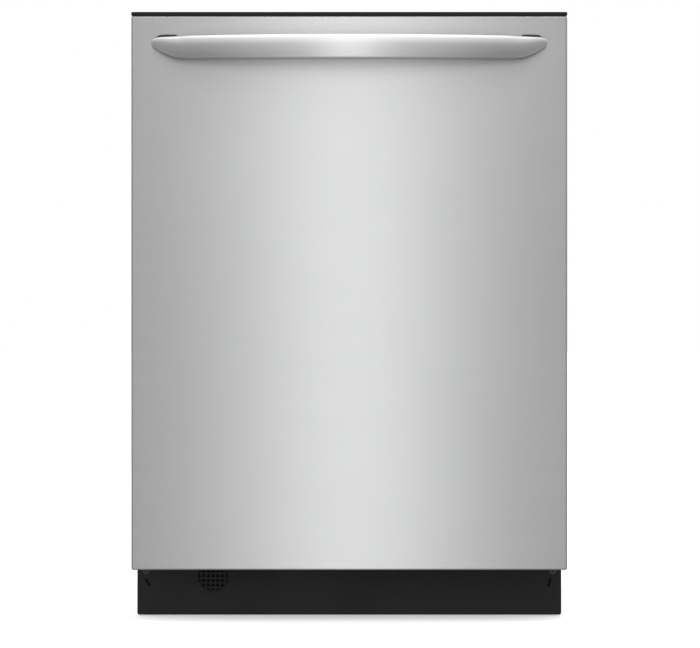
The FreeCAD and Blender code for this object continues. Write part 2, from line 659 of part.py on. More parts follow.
up_rims = ["570", "605", "shelf_z - wire/2", "up_hi - wire"]
up = basket("up_hw", "up_front", "up_back", "up_lo", "up_hi", 11, 9, up_rims)
for k in (1, 3, 7, 9):
    up.append(comb("-up_hw + %d*(2*up_hw - wire)/10" % k, "-150", "210", "up_lo + wire",
                   "up_lo + 58", 13))
for sx in ("-", ""):
    for y in (-137, 65):
        if sx == "-":
            lump = box("-up_hw + wire", "-247", "%d" % y, "%d + 12" % y, "shelf_z - 6", "shelf_z + 6")
        else:
            lump = box("247", "up_hw - wire", "%d" % y, "%d + 12" % y, "shelf_z - 6", "shelf_z + 6")
        up.append(cut(lump, cyl("rod_bore", "Y", sx + "shelf_x", "shelf_z", "%d - 3" % y, "%d + 15" % y)))
node("upper_rack", group(up))

inner = fuse([box("268", "275.1", "-190", "up_back", "rail_lo + 4.8", "rail_hi - 4.8"),
              box("up_hw", "268", "-122", "-92", "rail_lo + 6", "rail_hi - 7"),
              box("up_hw", "268", "140", "170", "rail_lo + 6", "rail_hi - 7")])
node("inner_rails", pair(inner))

manifold = fuse([box("-13", "13", "-20", "249.7", "505", "521"),
                 box("-13", "13", "-20", "-10", "521", "up_lo"),
                 box("-13", "13", "200", "212", "521", "up_lo"),
                 cyl("14", "Z", "0", "sump_y", "495", "507"),
                 cyl("stud_rad", "Z", "0", "sump_y", "473", "497"),
                 cyl("11", "Z", "0", "sump_y", "471", "477")])
manifold = cut(manifold, box("-10", "10", "-17", "255", "507.5", "518.5"))
node("upper_manifold", manifold)

node("upper_spray_arm", spray_arm("arm_up_rad", "478", "492", "470", "495", "20"))

shelf_bars = fuse(bars("XYZ", steps("-122", "62", 6), "140", "250", "shelf_z - 1.5", "shelf_z + 1.5") +
                  bars("YXZ", ["140", "175", "210"], "-122", "62", "shelf_z - 1.5", "shelf_z + 1.5") +
                  [cyl("shelf_rod", "Y", "shelf_x", "shelf_z", "-137", "77")])
node("cup_shelf_left", mirror(shelf_bars))
node("cup_shelf_right", group([shelf_bars]))

low_rims = ["250", "290", "low_hi - wire"]
low = basket("low_hw", "low_front", "low_back", "low_lo", "low_hi", 11, 9, low_rims)
for k in (1, 2, 3, 7, 8):
    low.append(comb("-low_hw + %d*(2*low_hw - wire)/10" % k, "-150", "220", "low_lo + wire",
                    "low_lo + 86", 14))
for y in (-160, 214):
    lump = box("44.2", "56.2", "%d" % y, "%d + 6" % y, "low_lo + wire", "low_lo + 14")
    low.append(cut(lump, cyl("rod_bore", "Y", "50.2", "low_lo + 8", "%d - 3" % y, "%d + 9" % y)))
for sx in (-1, 1):
    for y in ("axle_front", "axle_rear"):
        a, b = ("-low_hw", "-low_hw + wire") if sx < 0 else ("low_hw - wire", "low_hw")
        c, d = ("-264.5", "-low_hw + 1") if sx < 0 else ("low_hw - 1", "264.5")
        low.append(fuse([box(a, b, y + " - 7", y + " + 7", "wheel_z - 7", "low_lo"),
                         cyl("axle_rad", "X", y, "wheel_z", c, d)]))
node("lower_rack", group(low))


def wheel(y):
    w = cut(fuse([cyl("wheel_rad", "X", y, "wheel_z", "255", "263"),
                  cyl("7", "X", y, "wheel_z", "253", "264.5")]),
            cyl("axle_bore", "X", y, "wheel_z", "250", "268"))
    return pair(w)


node("lower_wheels_front", wheel("axle_front"))
node("lower_wheels_rear", wheel("axle_rear"))

fold = fuse([cyl("shelf_rod", "Y", "50.2", "low_lo + 8", "-160", "220")] +
            bars("ZYX", steps("-148", "206", 12), "low_lo + 8", "low_lo + 84", "48.7", "51.7"))
node("fold_tines", fold)

cutlery = cut(box("168", "240", "-150", "185", "low_lo + wire", "low_hi"),
              box("170", "238", "-148", "-40", "low_lo + wire + 3", "low_hi + 5"),
              box("170", "238", "-38", "72", "low_lo + wire + 3", "low_hi + 5"),
              box("170", "238", "74", "183", "low_lo + wire + 3", "low_hi + 5"))
arch = cut(box("200", "208", "-40", "74", "low_hi - 6", "400"),
           box("198", "210", "-30", "64", "low_hi - 10", "388"))
cutlery = fuse([cutlery, arch])
node("silverware_basket", cutlery)

# ---------------------------------------------------------------- door
skin_out = round_prism("XZ", "-door_hw", "door_hw", "door_bottom", "skin_top", "corner_out",
                       "door_front", "door_front + return_deep")
round_edges(skin_out, on_plane("Y", val("door_front")), "corner_out - 0.5")
skin_in = box("-door_hw + skin", "door_hw - skin", "door_front + skin", "door_front + return_deep + 2",
              "door_bottom + skin", "skin_top - skin")
SCREW_Z = ("140", "300", "460", "620", "780")
panel = cut(skin_out, skin_in,
            box("-door_hw + 6", "door_hw - 6", "door_front + return_low",
                "door_front + return_deep + 2", "door_bottom - 2", "door_bottom + 5"),
            *[cyl("3.25", "X", "-263", z, "-door_hw - 2", "door_hw + 2") for z in SCREW_Z])
node("door_outer_panel", panel)

border = cut(box("-liner_hw", "liner_hw", "liner_back - skin", "liner_back", "liner_lo", "liner_hi"),
             box("-liner_hw - 2", "-283", "liner_back - 5", "liner_back + 5", "liner_lo - 2", "162"),
             box("283", "liner_hw + 2", "liner_back - 5", "liner_back + 5", "liner_lo - 2", "162"))
pan_out = round_prism("XZ", "-pan_hw", "pan_hw", "pan_lo", "pan_hi", "14",
                      "liner_back - skin", "pan_back")
round_edges(pan_out, on_plane("Y", val("pan_back")), "6")
pan_in = round_prism("XZ", "-pan_hw + skin", "pan_hw - skin", "pan_lo + skin", "pan_hi - skin", "13",
                     "liner_back - skin - 5", "pan_back - skin")
round_edges(pan_in, on_plane("Y", val("pan_back - skin")), "5")
liner = fuse([border, pan_out,
              box("-liner_hw", "-liner_hw + skin", "-268", "liner_back", "liner_lo", "liner_hi"),
              box("liner_hw - skin", "liner_hw", "-268", "liner_back", "liner_lo", "liner_hi")])
liner = cut(liner, pan_in,
            box("-82", "82", "pan_back - 8", "pan_back + 5", "399", "496"),
            cyl("38", "Y", "-185", "300", "pan_back - 8", "pan_back + 5"),
            *[cyl("1.9", "X", "-263", z, "-door_hw - 2", "door_hw + 2") for z in SCREW_Z])
node("door_inner_panel", liner)

# Control panel: black top cap with hidden keys, open underneath into its body.
cap = round_prism("XZ", "-door_hw", "door_hw", "skin_top", "unit_top", "2",
                  "door_front", "liner_back")
shell = cut(fuse([cap, box("-296", "296", "-256", "-220", "liner_hi", "skin_top")]),
            box("-294", "294", "-254", "-221.5", "liner_hi - 5", "unit_top - 2.5"))
keys = []
for x in ("-150", "-110", "110", "150"):
    keys.append(box("%s - button_w/2 - button_gap" % x, "%s + button_w/2 + button_gap" % x,
                    "panel_y - button_d/2 - button_gap", "panel_y + button_d/2 + button_gap",
                    "840", "unit_top + 3"))
ears = [box(a, b, "-240", "-221.5", "815", "831") for a, b in (("-13", "-10"), ("10", "13"))]
shell = cut(fuse([shell] + ears), cyl("3.06", "X", "-236", "826", "-20", "20"),
            box("-9.8", "9.8", "-225", "-215", "822", "843"),
            box("-22", "-9.8", "-225", "-215", "831", "843"),
            box("9.8", "22", "-225", "-215", "831", "843"),
            box("-36", "36", "panel_y - 6", "panel_y + 6", "unit_top - 1.5", "unit_top + 3"),
            box("-30", "30", "panel_y - 4", "panel_y + 4", "840", "unit_top + 3"), *keys)
node("control_panel", shell)

# Handle: bar bowed out in plan, trimmed to its front outline with swept ends.
bow = doc.addObject("PartDesign::Body", tag("Body"))
sk = sketch_on(bow, "XY")
hw, yf, yt, ys, th = (val(q) for q in ("handle_hw", "handle_front", "handle_tip",
                                      "handle_seat", "handle_thick"))
sag = yt - yf
rad = (hw * hw + sag * sag) / (2 * sag)
cy = yf + rad
xi = math.sqrt((rad - th) ** 2 - (cy - ys) ** 2)
half = math.asin(hw / rad)
half_in = math.asin(xi / (rad - th))
sk.addGeometry(Part.ArcOfCircle(Part.Circle(V(0, cy, 0), V(0, 0, 1), rad),
                                -math.pi / 2 - half, -math.pi / 2 + half), False)
sk.addGeometry(Part.LineSegment(V(hw, yt, 0), V(hw, ys, 0)), False)
sk.addGeometry(Part.LineSegment(V(hw, ys, 0), V(xi, ys, 0)), False)
sk.addGeometry(Part.ArcOfCircle(Part.Circle(V(0, cy, 0), V(0, 0, 1), rad - th),
                                -math.pi / 2 - half_in, -math.pi / 2 + half_in), False)
sk.addGeometry(Part.LineSegment(V(-xi, ys, 0), V(-hw, ys, 0)), False)
sk.addGeometry(Part.LineSegment(V(-hw, ys, 0), V(-hw, yt, 0)), False)
for a, pa, b, pb in ((0, 2, 1, 1), (1, 2, 2, 1), (2, 2, 3, 2), (3, 1, 4, 1), (4, 2, 5, 1), (5, 2, 0, 1)):
    sk.addConstraint(Sketcher.Constraint("Coincident", a, pa, b, pb))
for kind, geo, pos, e in (("DistanceX", 0, 2, "handle_hw"), ("DistanceY", 0, 2, "handle_tip"),
                          ("DistanceX", 0, 1, "-handle_hw"), ("DistanceY", 0, 1, "handle_tip"),
                          ("DistanceY", 1, 2, "handle_seat"), ("DistanceY", 4, 2, "handle_seat")):
    k = sk.addConstraint(Sketcher.Constraint(kind, -1, 1, geo, pos, val(e)))
    bind(sk, "Constraints[%d]" % k, e)
for geo in (1, 5):
    sk.addConstraint(Sketcher.Constraint("Vertical", geo))
for geo in (2, 4):
    sk.addConstraint(Sketcher.Constraint("Horizontal", geo))
sk.addConstraint(Sketcher.Constraint("Coincident", 0, 3, 3, 3))
k = sk.addConstraint(Sketcher.Constraint("Radius", 0, rad))
bind(sk, "Constraints[%d]" % k,
     "(handle_hw^2 + (handle_tip - handle_front)^2)/(2*(handle_tip - handle_front))")
k = sk.addConstraint(Sketcher.Constraint("Radius", 3, rad - th))
bind(sk, "Constraints[%d]" % k,
     "(handle_hw^2 + (handle_tip - handle_front)^2)/(2*(handle_tip - handle_front)) - handle_thick")
pad_from(bow, sk, "XY", "handle_lo", "handle_hi")
doc.recompute()


def long_front(e):
    bb = e.BoundBox
    return bb.XLength > 500 and bb.YMin < yf + 1 and bb.ZLength < 0.01


def long_back(e):
    bb = e.BoundBox
    return bb.XLength > 400 and bb.YMin > yf + 5 and bb.ZLength < 0.01 and bb.YLength > 5


round_edges(bow, long_front, "2.4")
round_edges(bow, long_back, "3.5")
ends = [("handle_hw", "808.8"), ("handle_hw - 1.2", "802.5"), ("handle_hw - 6.3", "798.2"),
        ("handle_hw - 12.6", "793.9"), ("handle_hw - 22.4", "788.9"), ("handle_hw - 31.1", "785.1"),
        ("handle_hw - 40.4", "783.3"), ("handle_hw - 50", "handle_lo")]
tops = [("handle_hw - 25", "handle_hi"), ("handle_hw - 10", "815.4"), ("handle_hw - 2.6", "812.5")]
outline = ([("-(%s)" % u, w) for u, w in ends] + [("0", "handle_lo - 0.5")] + ends[::-1] +
           tops[::-1] + [("0", "handle_hi + 0.5")] + [("-(%s)" % u, w) for u, w in tops])
trim = prism("XZ", outline, "handle_front - 5", "handle_seat + 5")
node("door_handle", common([bow, trim]))

foot_pad = prism("XZ", [("239", "786.5"), ("249", "789.5"), ("262", "796"), ("270", "802"),
                        ("272", "808"), ("270.5", "813.5"), ("265", "817.4"), ("258", "818.2"),
                        ("239", "818.2")], "handle_seat", "door_front")
node("handle_feet", pair(foot_pad))

dscrews = []
for z in SCREW_Z:
    dscrews.append(fuse([cyl("3.2", "X", "-263", z, "door_hw - skin", "door_hw"),
                         cyl("1.85", "X", "-263", z, "296", "door_hw - skin")]))
node("door_screws", pair(group(dscrews)))

arm_web = prism("YZ", [("-256", "100"), ("-254", "84"), ("-248", "79"), ("-240", "80"),
                       ("-232", "92"), ("-230", "145"), ("liner_back - skin", "152"),
                       ("liner_back - skin", "320"), ("-252", "320")], "292", "295")
sector = cut(cyl("sector_rad", "X", "hinge_y", "hinge_z", "288", "293"),
             box("280", "296", "hinge_y - 40", "hinge_y", "hinge_z - 40", "hinge_z + 40"),
             box("280", "296", "hinge_y - 40", "hinge_y + 40", "hinge_z - 40", "hinge_z"))
arm = fuse([arm_web, sector,
            box("284", "293", "liner_back - skin - 2", "liner_back - skin", "160", "320"),
            cyl("pin_rad", "X", "hinge_y", "hinge_z", "289", "300")])
node("hinge_arms", pair(arm))

disp = cut(fuse([box("-90", "90", "pan_back", "pan_back + 3", "395", "500"),
                 box("-81", "81", "pan_back - 58", "pan_back", "400", "495")]),
           box("-80", "-20", "pan_back - 24", "pan_back + 5", "405", "480"),
           cyl("15", "Y", "62", "447", "pan_back - 15", "pan_back + 5"),
           box("-79", "79", "pan_back - 60", "pan_back - 26", "402", "493"))
disp = fuse([disp, box("-88", "40", "pan_back + 3", "pan_back + 7", "396", "398.5"),
             box("-88", "40", "pan_back + 3", "pan_back + 7", "487", "489.5")])
node("dispenser_body", disp)

lid = fuse([box("-84", "-18", "pan_back + 3.3", "pan_back + 6.3", "399", "486.5"),
            box("-74", "-30", "pan_back + 6.3", "pan_back + 8", "470", "476")])
node("dispenser_lid", lid)

turn_cap = fuse([cyl("17", "Y", "62", "447", "pan_back + 3.3", "pan_back + 7"),
                 cyl("13", "Y", "62", "447", "pan_back - 10", "pan_back + 3.3"),
                 box("47", "77", "pan_back + 7", "pan_back + 10", "445", "449")])
node("rinse_aid_cap", turn_cap)

vent = cut(fuse([cyl("45", "Y", "-185", "300", "pan_back", "pan_back + 4"),
                 cyl("36", "Y", "-185", "300", "pan_back - 20", "pan_back")]),
           cyl("33", "Y", "-185", "300", "pan_back - 22", "pan_back + 1"),
           *[box("-215", "-155", "pan_back - 2", "pan_back + 6", "%d" % z, "%d + 4" % z)
             for z in (280, 289, 298, 307, 316)])
node("vent_cover", vent)

board = fuse([box("-180", "180", "-254", "-241", "820", "821.6"),
              box("-170", "-60", "-252", "-242", "821.6", "829"),
              box("60", "170", "-252", "-242", "821.6", "829")])
node("control_board", board)

catch = fuse([cyl("3", "X", "-232", "832.5", "-8", "8"),
              box("-8", "8", "-237", "-230", "826", "831"),
              cyl("3", "X", "-236", "826", "-14", "14")])
node("latch_catch", catch)

node("display_window", box("-36", "36", "panel_y - 6", "panel_y + 6", "unit_top - 1.5", "unit_top"))

node("spring_cables", pair(cyl("cable_rad", "Y", "cable_x", "cable_z", "hinge_y", "-120.3")))

# ---------------------------------------------------------------- legs and keys
for name, x, y in (("leg_front_left", "-leg_x", "leg_front"), ("leg_front_right", "leg_x", "leg_front"),
                   ("leg_rear_left", "-leg_x", "leg_rear"), ("leg_rear_right", "leg_x", "leg_rear")):
    node(name, fuse([cyl("foot_rad", "Z", x, y, "0", "foot_high"),
                     cyl("9", "Z", x, y, "foot_high", "foot_high + 6"),
                     cyl("leg_rad", "Z", x, y, "foot_high", "leg_top")]))

for name, x in (("button_power", "-150"), ("button_cycle", "-110"),
                ("button_option", "110"), ("button_start", "150")):
    node(name, fuse([box("%s - button_w/2" % x, "%s + button_w/2" % x, "panel_y - button_d/2",
                         "panel_y + button_d/2", "838", "849.7"),
                     box("%s - button_w/2 - 2" % x, "%s + button_w/2 + 2" % x,
                         "panel_y - button_d/2 - 1.5", "panel_y + button_d/2 + 1.5", "843.6", "845.6")]))

doc.recompute()

names = set()
faults = []
for name, obj in PARTS:
    if name in names:
        faults.append("duplicate " + name)
    names.add(name)
    obj.Label = name
doc.recompute()
for o in doc.Objects:
    if "Invalid" in o.State or "Error" in o.State:
        faults.append("state %s %s" % (o.Name, o.State))
for name, obj in PARTS:
    if obj.Shape.isNull() or not obj.Shape.isValid() or not obj.Shape.Solids:
        faults.append("shape " + name)
if faults:
    raise RuntimeError("; ".join(faults))
os.makedirs("parts", exist_ok=True)
for name, obj in PARTS:
    obj.Shape.exportStep("parts/%s.step" % name)
print("parts", len(PARTS))
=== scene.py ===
import bpy
import bmesh
import json
import math
import random
from mathutils import Vector, Matrix


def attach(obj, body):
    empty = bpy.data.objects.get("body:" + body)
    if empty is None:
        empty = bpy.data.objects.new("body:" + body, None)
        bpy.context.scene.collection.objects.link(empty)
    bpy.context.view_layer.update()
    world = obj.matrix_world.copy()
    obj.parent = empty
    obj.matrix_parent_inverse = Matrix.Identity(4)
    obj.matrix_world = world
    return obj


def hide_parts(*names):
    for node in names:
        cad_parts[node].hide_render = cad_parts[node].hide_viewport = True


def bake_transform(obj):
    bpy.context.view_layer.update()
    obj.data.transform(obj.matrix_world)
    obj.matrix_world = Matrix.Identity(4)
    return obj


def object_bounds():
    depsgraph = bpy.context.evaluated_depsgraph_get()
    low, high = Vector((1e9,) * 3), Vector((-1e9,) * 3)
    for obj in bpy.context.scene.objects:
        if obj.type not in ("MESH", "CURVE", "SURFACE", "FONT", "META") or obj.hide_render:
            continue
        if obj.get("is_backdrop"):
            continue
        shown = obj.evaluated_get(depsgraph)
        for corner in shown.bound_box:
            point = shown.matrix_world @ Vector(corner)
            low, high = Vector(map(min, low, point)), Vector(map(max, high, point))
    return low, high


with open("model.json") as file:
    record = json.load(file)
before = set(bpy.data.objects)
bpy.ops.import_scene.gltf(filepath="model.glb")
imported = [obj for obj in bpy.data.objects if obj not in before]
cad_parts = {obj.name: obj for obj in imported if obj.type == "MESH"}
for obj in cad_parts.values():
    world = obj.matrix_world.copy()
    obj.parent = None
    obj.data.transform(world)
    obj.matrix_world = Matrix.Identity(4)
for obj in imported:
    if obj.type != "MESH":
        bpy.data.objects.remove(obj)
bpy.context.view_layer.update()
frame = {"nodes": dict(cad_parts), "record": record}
random.seed(7)
V = Vector
record = frame["record"]
slot_of = {s["node"]: s["material_slot"] for s in record["subparts"]}

# ------------------------------------------------------------------ materials
MATS = {}


def start_mat(name):
    m = bpy.data.materials.new(name)
    m.use_nodes = True
    nt = m.node_tree
    b = next(n for n in nt.nodes if n.type == "BSDF_PRINCIPLED")
    MATS[name] = m
    return m, nt, b


def coords(nt, scale=(1, 1, 1), rot=(0, 0, 0)):
    tc = nt.nodes.new("ShaderNodeTexCoord")
    mp = nt.nodes.new("ShaderNodeMapping")
    mp.inputs["Scale"].default_value = scale
    mp.inputs["Rotation"].default_value = rot
    nt.links.new(tc.outputs["Object"], mp.inputs["Vector"])
    return mp.outputs["Vector"]


def noise_of(nt, vec, scale, detail=4.0, rough=0.55):
    n = nt.nodes.new("ShaderNodeTexNoise")
    n.inputs["Scale"].default_value = scale
    n.inputs["Detail"].default_value = detail
    n.inputs["Roughness"].default_value = rough
    nt.links.new(vec, n.inputs["Vector"])
    return n.outputs["Fac"]


def cells_of(nt, vec, scale, feature="F1", out="Distance"):
    n = nt.nodes.new("ShaderNodeTexVoronoi")
    n.feature = feature
    n.inputs["Scale"].default_value = scale
    nt.links.new(vec, n.inputs["Vector"])
    return n.outputs[out]


def ramp(nt, fac, a, b, lo=0.0, hi=1.0):
    """Map fac from lo..hi to a..b; a and b are numbers or colours."""
    if isinstance(a, (int, float)):
        n = nt.nodes.new("ShaderNodeMapRange")
        n.inputs["From Min"].default_value = lo
        n.inputs["From Max"].default_value = hi
        n.inputs["To Min"].default_value = a
        n.inputs["To Max"].default_value = b
        nt.links.new(fac, n.inputs["Value"])
        return n.outputs["Result"]
    n = nt.nodes.new("ShaderNodeValToRGB")
    n.color_ramp.elements[0].position = lo
    n.color_ramp.elements[1].position = hi
    n.color_ramp.elements[0].color = (*a, 1)
    n.color_ramp.elements[1].color = (*b, 1)
    nt.links.new(fac, n.inputs["Fac"])
    return n.outputs["Color"]


def tint(c, k):
    return tuple(min(1.0, x * k) for x in c)


def bump(nt, height, strength, distance, normal=None):
    n = nt.nodes.new("ShaderNodeBump")
    n.inputs["Strength"].default_value = strength
    n.inputs["Distance"].default_value = distance
    nt.links.new(height, n.inputs["Height"])
    if normal is not None:
        nt.links.new(normal, n.inputs["Normal"])
    return n.outputs["Normal"]


def brushed(name, base, rough, grain=(4, 4, 1400), depth=0.00001, strength=0.35, vary=0.05, cloud=0.03):
    m, nt, b = start_mat(name)
    b.inputs["Metallic"].default_value = 1.0
    vec = coords(nt, grain)
    fine = noise_of(nt, vec, 1.0, 3.0, 0.6)
    wide = noise_of(nt, coords(nt, (1, 1, 1)), 3.0, 3.0, 0.5)
    mixn = nt.nodes.new("ShaderNodeMix")
    mixn.data_type = "RGBA"
    mixn.blend_type = "MULTIPLY"
    mixn.inputs["Factor"].default_value = 1.0
    nt.links.new(ramp(nt, fine, tint(base, 1 - vary), tint(base, 1 + vary), 0.3, 0.7), mixn.inputs["A"])
    nt.links.new(ramp(nt, wide, (1 - cloud,) * 3, (1.0,) * 3, 0.3, 0.7), mixn.inputs["B"])
    nt.links.new(mixn.outputs["Result"], b.inputs["Base Color"])
    nt.links.new(ramp(nt, fine, rough * 0.9, rough * 1.12, 0.25, 0.75), b.inputs["Roughness"])
    nt.links.new(bump(nt, fine, strength, depth), b.inputs["Normal"])
    return m


def spangle(name, base, rough=0.42):
    """Galvanised sheet: crystal patches that differ in brightness and gloss."""
    m, nt, b = start_mat(name)
    b.inputs["Metallic"].default_value = 1.0
    vec = coords(nt)
    patch = cells_of(nt, vec, 95.0, "F1", "Color")
    grey = nt.nodes.new("ShaderNodeRGBToBW")
    nt.links.new(patch, grey.inputs["Color"])
    fine = noise_of(nt, vec, 600.0, 3.0)
    nt.links.new(ramp(nt, grey.outputs["Val"], tint(base, 0.84), tint(base, 1.12), 0.1, 0.9),
                 b.inputs["Base Color"])
    nt.links.new(ramp(nt, grey.outputs["Val"], rough * 0.8, rough * 1.25, 0.1, 0.9), b.inputs["Roughness"])
    nt.links.new(bump(nt, fine, 0.2, 0.00004), b.inputs["Normal"])
    return m


def plastic(name, base, rough=0.42, grain=900.0, depth=0.00005, vary=0.06, coat=0.0):
    m, nt, b = start_mat(name)
    vec = coords(nt)
    fine = noise_of(nt, vec, grain, 2.0)
    wide = noise_of(nt, vec, 14.0, 4.0)
    nt.links.new(ramp(nt, wide, tint(base, 1 - vary), tint(base, 1 + vary), 0.3, 0.7), b.inputs["Base Color"])
    nt.links.new(ramp(nt, wide, rough * 0.88, rough * 1.14, 0.3, 0.7), b.inputs["Roughness"])
    nt.links.new(bump(nt, fine, 0.25, depth), b.inputs["Normal"])
    b.inputs["Coat Weight"].default_value = coat
    b.inputs["Coat Roughness"].default_value = 0.12
    return m


def paint(name, base, rough=0.34, coat=0.25):
    m, nt, b = start_mat(name)
    vec = coords(nt)
    peel = noise_of(nt, vec, 420.0, 2.0)
    wide = noise_of(nt, vec, 9.0, 5.0)
    nt.links.new(ramp(nt, wide, tint(base, 0.88), tint(base, 1.15), 0.3, 0.7), b.inputs["Base Color"])
    nt.links.new(ramp(nt, wide, rough * 0.9, rough * 1.15, 0.3, 0.7), b.inputs["Roughness"])
    nt.links.new(bump(nt, peel, 0.22, 0.00008), b.inputs["Normal"])
    b.inputs["Coat Weight"].default_value = coat
    b.inputs["Coat Roughness"].default_value = 0.25
    return m


def rubber(name, base, rough=0.62):
    m, nt, b = start_mat(name)
    vec = coords(nt)
    dust = noise_of(nt, vec, 30.0, 6.0, 0.65)
    fine = noise_of(nt, vec, 1400.0, 2.0)
    nt.links.new(ramp(nt, dust, tint(base, 0.85), tint(base, 1.5), 0.35, 0.8), b.inputs["Base Color"])
    nt.links.new(ramp(nt, dust, rough * 0.9, rough * 1.2, 0.3, 0.7), b.inputs["Roughness"])
    nt.links.new(bump(nt, fine, 0.3, 0.00006), b.inputs["Normal"])
    return m


def felt(name, base, sheen=0.35):
    m, nt, b = start_mat(name)
    vec = coords(nt)
    strand = noise_of(nt, coords(nt, (1, 3, 1)), 420.0, 5.0, 0.7)
    cross = noise_of(nt, coords(nt, (3, 1, 2)), 260.0, 5.0, 0.7)
    clump = noise_of(nt, vec, 34.0, 5.0, 0.6)
    add = nt.nodes.new("ShaderNodeMath")
    add.operation = "ADD"
    nt.links.new(strand, add.inputs[0])
    nt.links.new(cross, add.inputs[1])
    nt.links.new(ramp(nt, add.outputs[0], tint(base, 0.55), tint(base, 2.2), 0.75, 1.25), b.inputs["Base Color"])
    b.inputs["Roughness"].default_value = 0.95
    b.inputs["Sheen Weight"].default_value = sheen
    b.inputs["Sheen Roughness"].default_value = 0.5
    n1 = bump(nt, clump, 0.5, 0.002)
    nt.links.new(bump(nt, add.outputs[0], 0.6, 0.0006, n1), b.inputs["Normal"])
    return m


def heat_tint(name, base):
    m, nt, b = start_mat(name)
    b.inputs["Metallic"].default_value = 1.0
    wide = noise_of(nt, coords(nt), 16.0, 4.0)
    nt.links.new(ramp(nt, wide, (0.30, 0.24, 0.20), (0.42, 0.42, 0.44), 0.35, 0.7), b.inputs["Base Color"])
    nt.links.new(ramp(nt, wide, 0.32, 0.5, 0.3, 0.7), b.inputs["Roughness"])
    nt.links.new(bump(nt, noise_of(nt, coords(nt), 700.0, 2.0), 0.2, 0.00005), b.inputs["Normal"])
    return m


def mesh_steel(name, base):
    """Perforated filter sheet: rows of fine holes, drawn as dark spots in the colour (painted shade seen through the
    holes) with a bump.
    """
    m, nt, b = start_mat(name)
    b.inputs["Metallic"].default_value = 1.0
    b.inputs["Roughness"].default_value = 0.36
    d = cells_of(nt, coords(nt, (1, 1, 0.001)), 420.0)
    # the near-black base colour in each hole is painted shade, standing in for the dark seen through the perforations
    nt.links.new(ramp(nt, d, (0.02, 0.02, 0.02), base, 0.28, 0.36), b.inputs["Base Color"])
    nt.links.new(bump(nt, ramp(nt, d, 0.0, 1.0, 0.25, 0.4), 0.5, 0.0004), b.inputs["Normal"])
    return m


def board(name):
    m, nt, b = start_mat(name)
    brick = nt.nodes.new("ShaderNodeTexBrick")
    brick.inputs["Scale"].default_value = 160.0
    brick.inputs["Mortar Size"].default_value = 0.03
    brick.inputs["Color1"].default_value = (0.01, 0.12, 0.05, 1)
    brick.inputs["Color2"].default_value = (0.015, 0.16, 0.07, 1)
    brick.inputs["Mortar"].default_value = (0.05, 0.32, 0.15, 1)
    nt.links.new(coords(nt), brick.inputs["Vector"])
    nt.links.new(brick.outputs["Color"], b.inputs["Base Color"])
    nt.links.new(ramp(nt, brick.outputs["Fac"], 0.3, 0.5), b.inputs["Roughness"])
    return m


door_mat = brushed("door_steel", (0.40, 0.402, 0.404), 0.34, depth=0.000012, vary=0.03)
nt = door_mat.node_tree
bs = next(n for n in nt.nodes if n.type == "BSDF_PRINCIPLED")
tg = nt.nodes.new("ShaderNodeTangent")
tg.direction_type = "RADIAL"
tg.axis = "Z"
nt.links.new(tg.outputs["Tangent"], bs.inputs["Tangent"])
bs.inputs["Anisotropic"].default_value = 0.9
bs.inputs["Anisotropic Rotation"].default_value = 0.25
brushed("handle_steel", (0.57, 0.572, 0.574), 0.30, grain=(6, 500, 1500), depth=0.000006, vary=0.03)
brushed("liner_steel", (0.66, 0.665, 0.67), 0.24, grain=(900, 900, 5), vary=0.035)
brushed("tub_steel", (0.64, 0.645, 0.65), 0.22, grain=(700, 6, 700), vary=0.03)
brushed("rail_steel", (0.62, 0.625, 0.63), 0.25, grain=(900, 8, 900), vary=0.03)
brushed("screw_steel", (0.55, 0.55, 0.56), 0.3, grain=(300, 300, 300), vary=0.05)
brushed("leg_steel", (0.52, 0.53, 0.54), 0.34, grain=(300, 300, 900), vary=0.06)
brushed("spring_steel", (0.42, 0.42, 0.43), 0.32, grain=(500, 30, 500), vary=0.08)
spangle("frame_steel", (0.52, 0.54, 0.56))
spangle("arm_steel", (0.50, 0.52, 0.54), 0.36)
spangle("box_steel", (0.55, 0.57, 0.59), 0.45)
paint("toe_paint", (0.0050, 0.0050, 0.0053), 0.5, 0.0)
MATS["toe_paint"].node_tree.nodes["Principled BSDF"].inputs["Specular IOR Level"].default_value = 0.25
paint("motor_metal", (0.10, 0.105, 0.115), 0.4)
paint("rotor_metal", (0.10, 0.10, 0.11), 0.35)
paint("screw_black", (0.020, 0.020, 0.021), 0.42, 0.15)
plastic("handle_foot", (0.012, 0.012, 0.013), 0.5)
plastic("sump_plastic", (0.075, 0.08, 0.09), 0.45)
plastic("pump_plastic", (0.55, 0.56, 0.54), 0.45)
plastic("valve_plastic", (0.66, 0.66, 0.63), 0.42)
plastic("cup_plastic", (0.10, 0.115, 0.13), 0.4)
plastic("riser_plastic", (0.24, 0.25, 0.27), 0.42)
plastic("float_plastic", (0.26, 0.28, 0.30), 0.45)
plastic("arm_plastic", (0.17, 0.18, 0.20), 0.4)
plastic("rack_coat", (0.16, 0.175, 0.20), 0.36, grain=1600.0, vary=0.08, coat=0.2)
plastic("basket_plastic", (0.14, 0.15, 0.175), 0.42)
plastic("wheel_plastic", (0.22, 0.235, 0.25), 0.45)
plastic("panel_black", (0.003, 0.003, 0.0032), 0.38)
MATS["panel_black"].node_tree.nodes["Principled BSDF"].inputs["Specular IOR Level"].default_value = 0.22
plastic("key_plastic", (0.035, 0.035, 0.038), 0.38, coat=0.2)
plastic("dispenser_plastic", (0.27, 0.285, 0.31), 0.38)
plastic("lid_plastic", (0.36, 0.38, 0.41), 0.34)
plastic("cap_plastic", (0.05, 0.085, 0.17), 0.36)
plastic("vent_plastic", (0.24, 0.25, 0.27), 0.42)
plastic("latch_plastic", (0.48, 0.48, 0.46), 0.4)
plastic("lens", (0.006, 0.006, 0.009), 0.08, vary=0.02, coat=1.0)
rubber("seal", (0.035, 0.035, 0.037))
rubber("hose", (0.018, 0.018, 0.019), 0.5)
felt("felt", (0.030, 0.030, 0.032))
# near-black felt for the toe kick channel: painted shade, so the vent holes behind the kick read dark
felt("felt_shade_black", (0.0016, 0.0016, 0.0017), 0.04)
heat_tint("heater", (0.3, 0.3, 0.3))
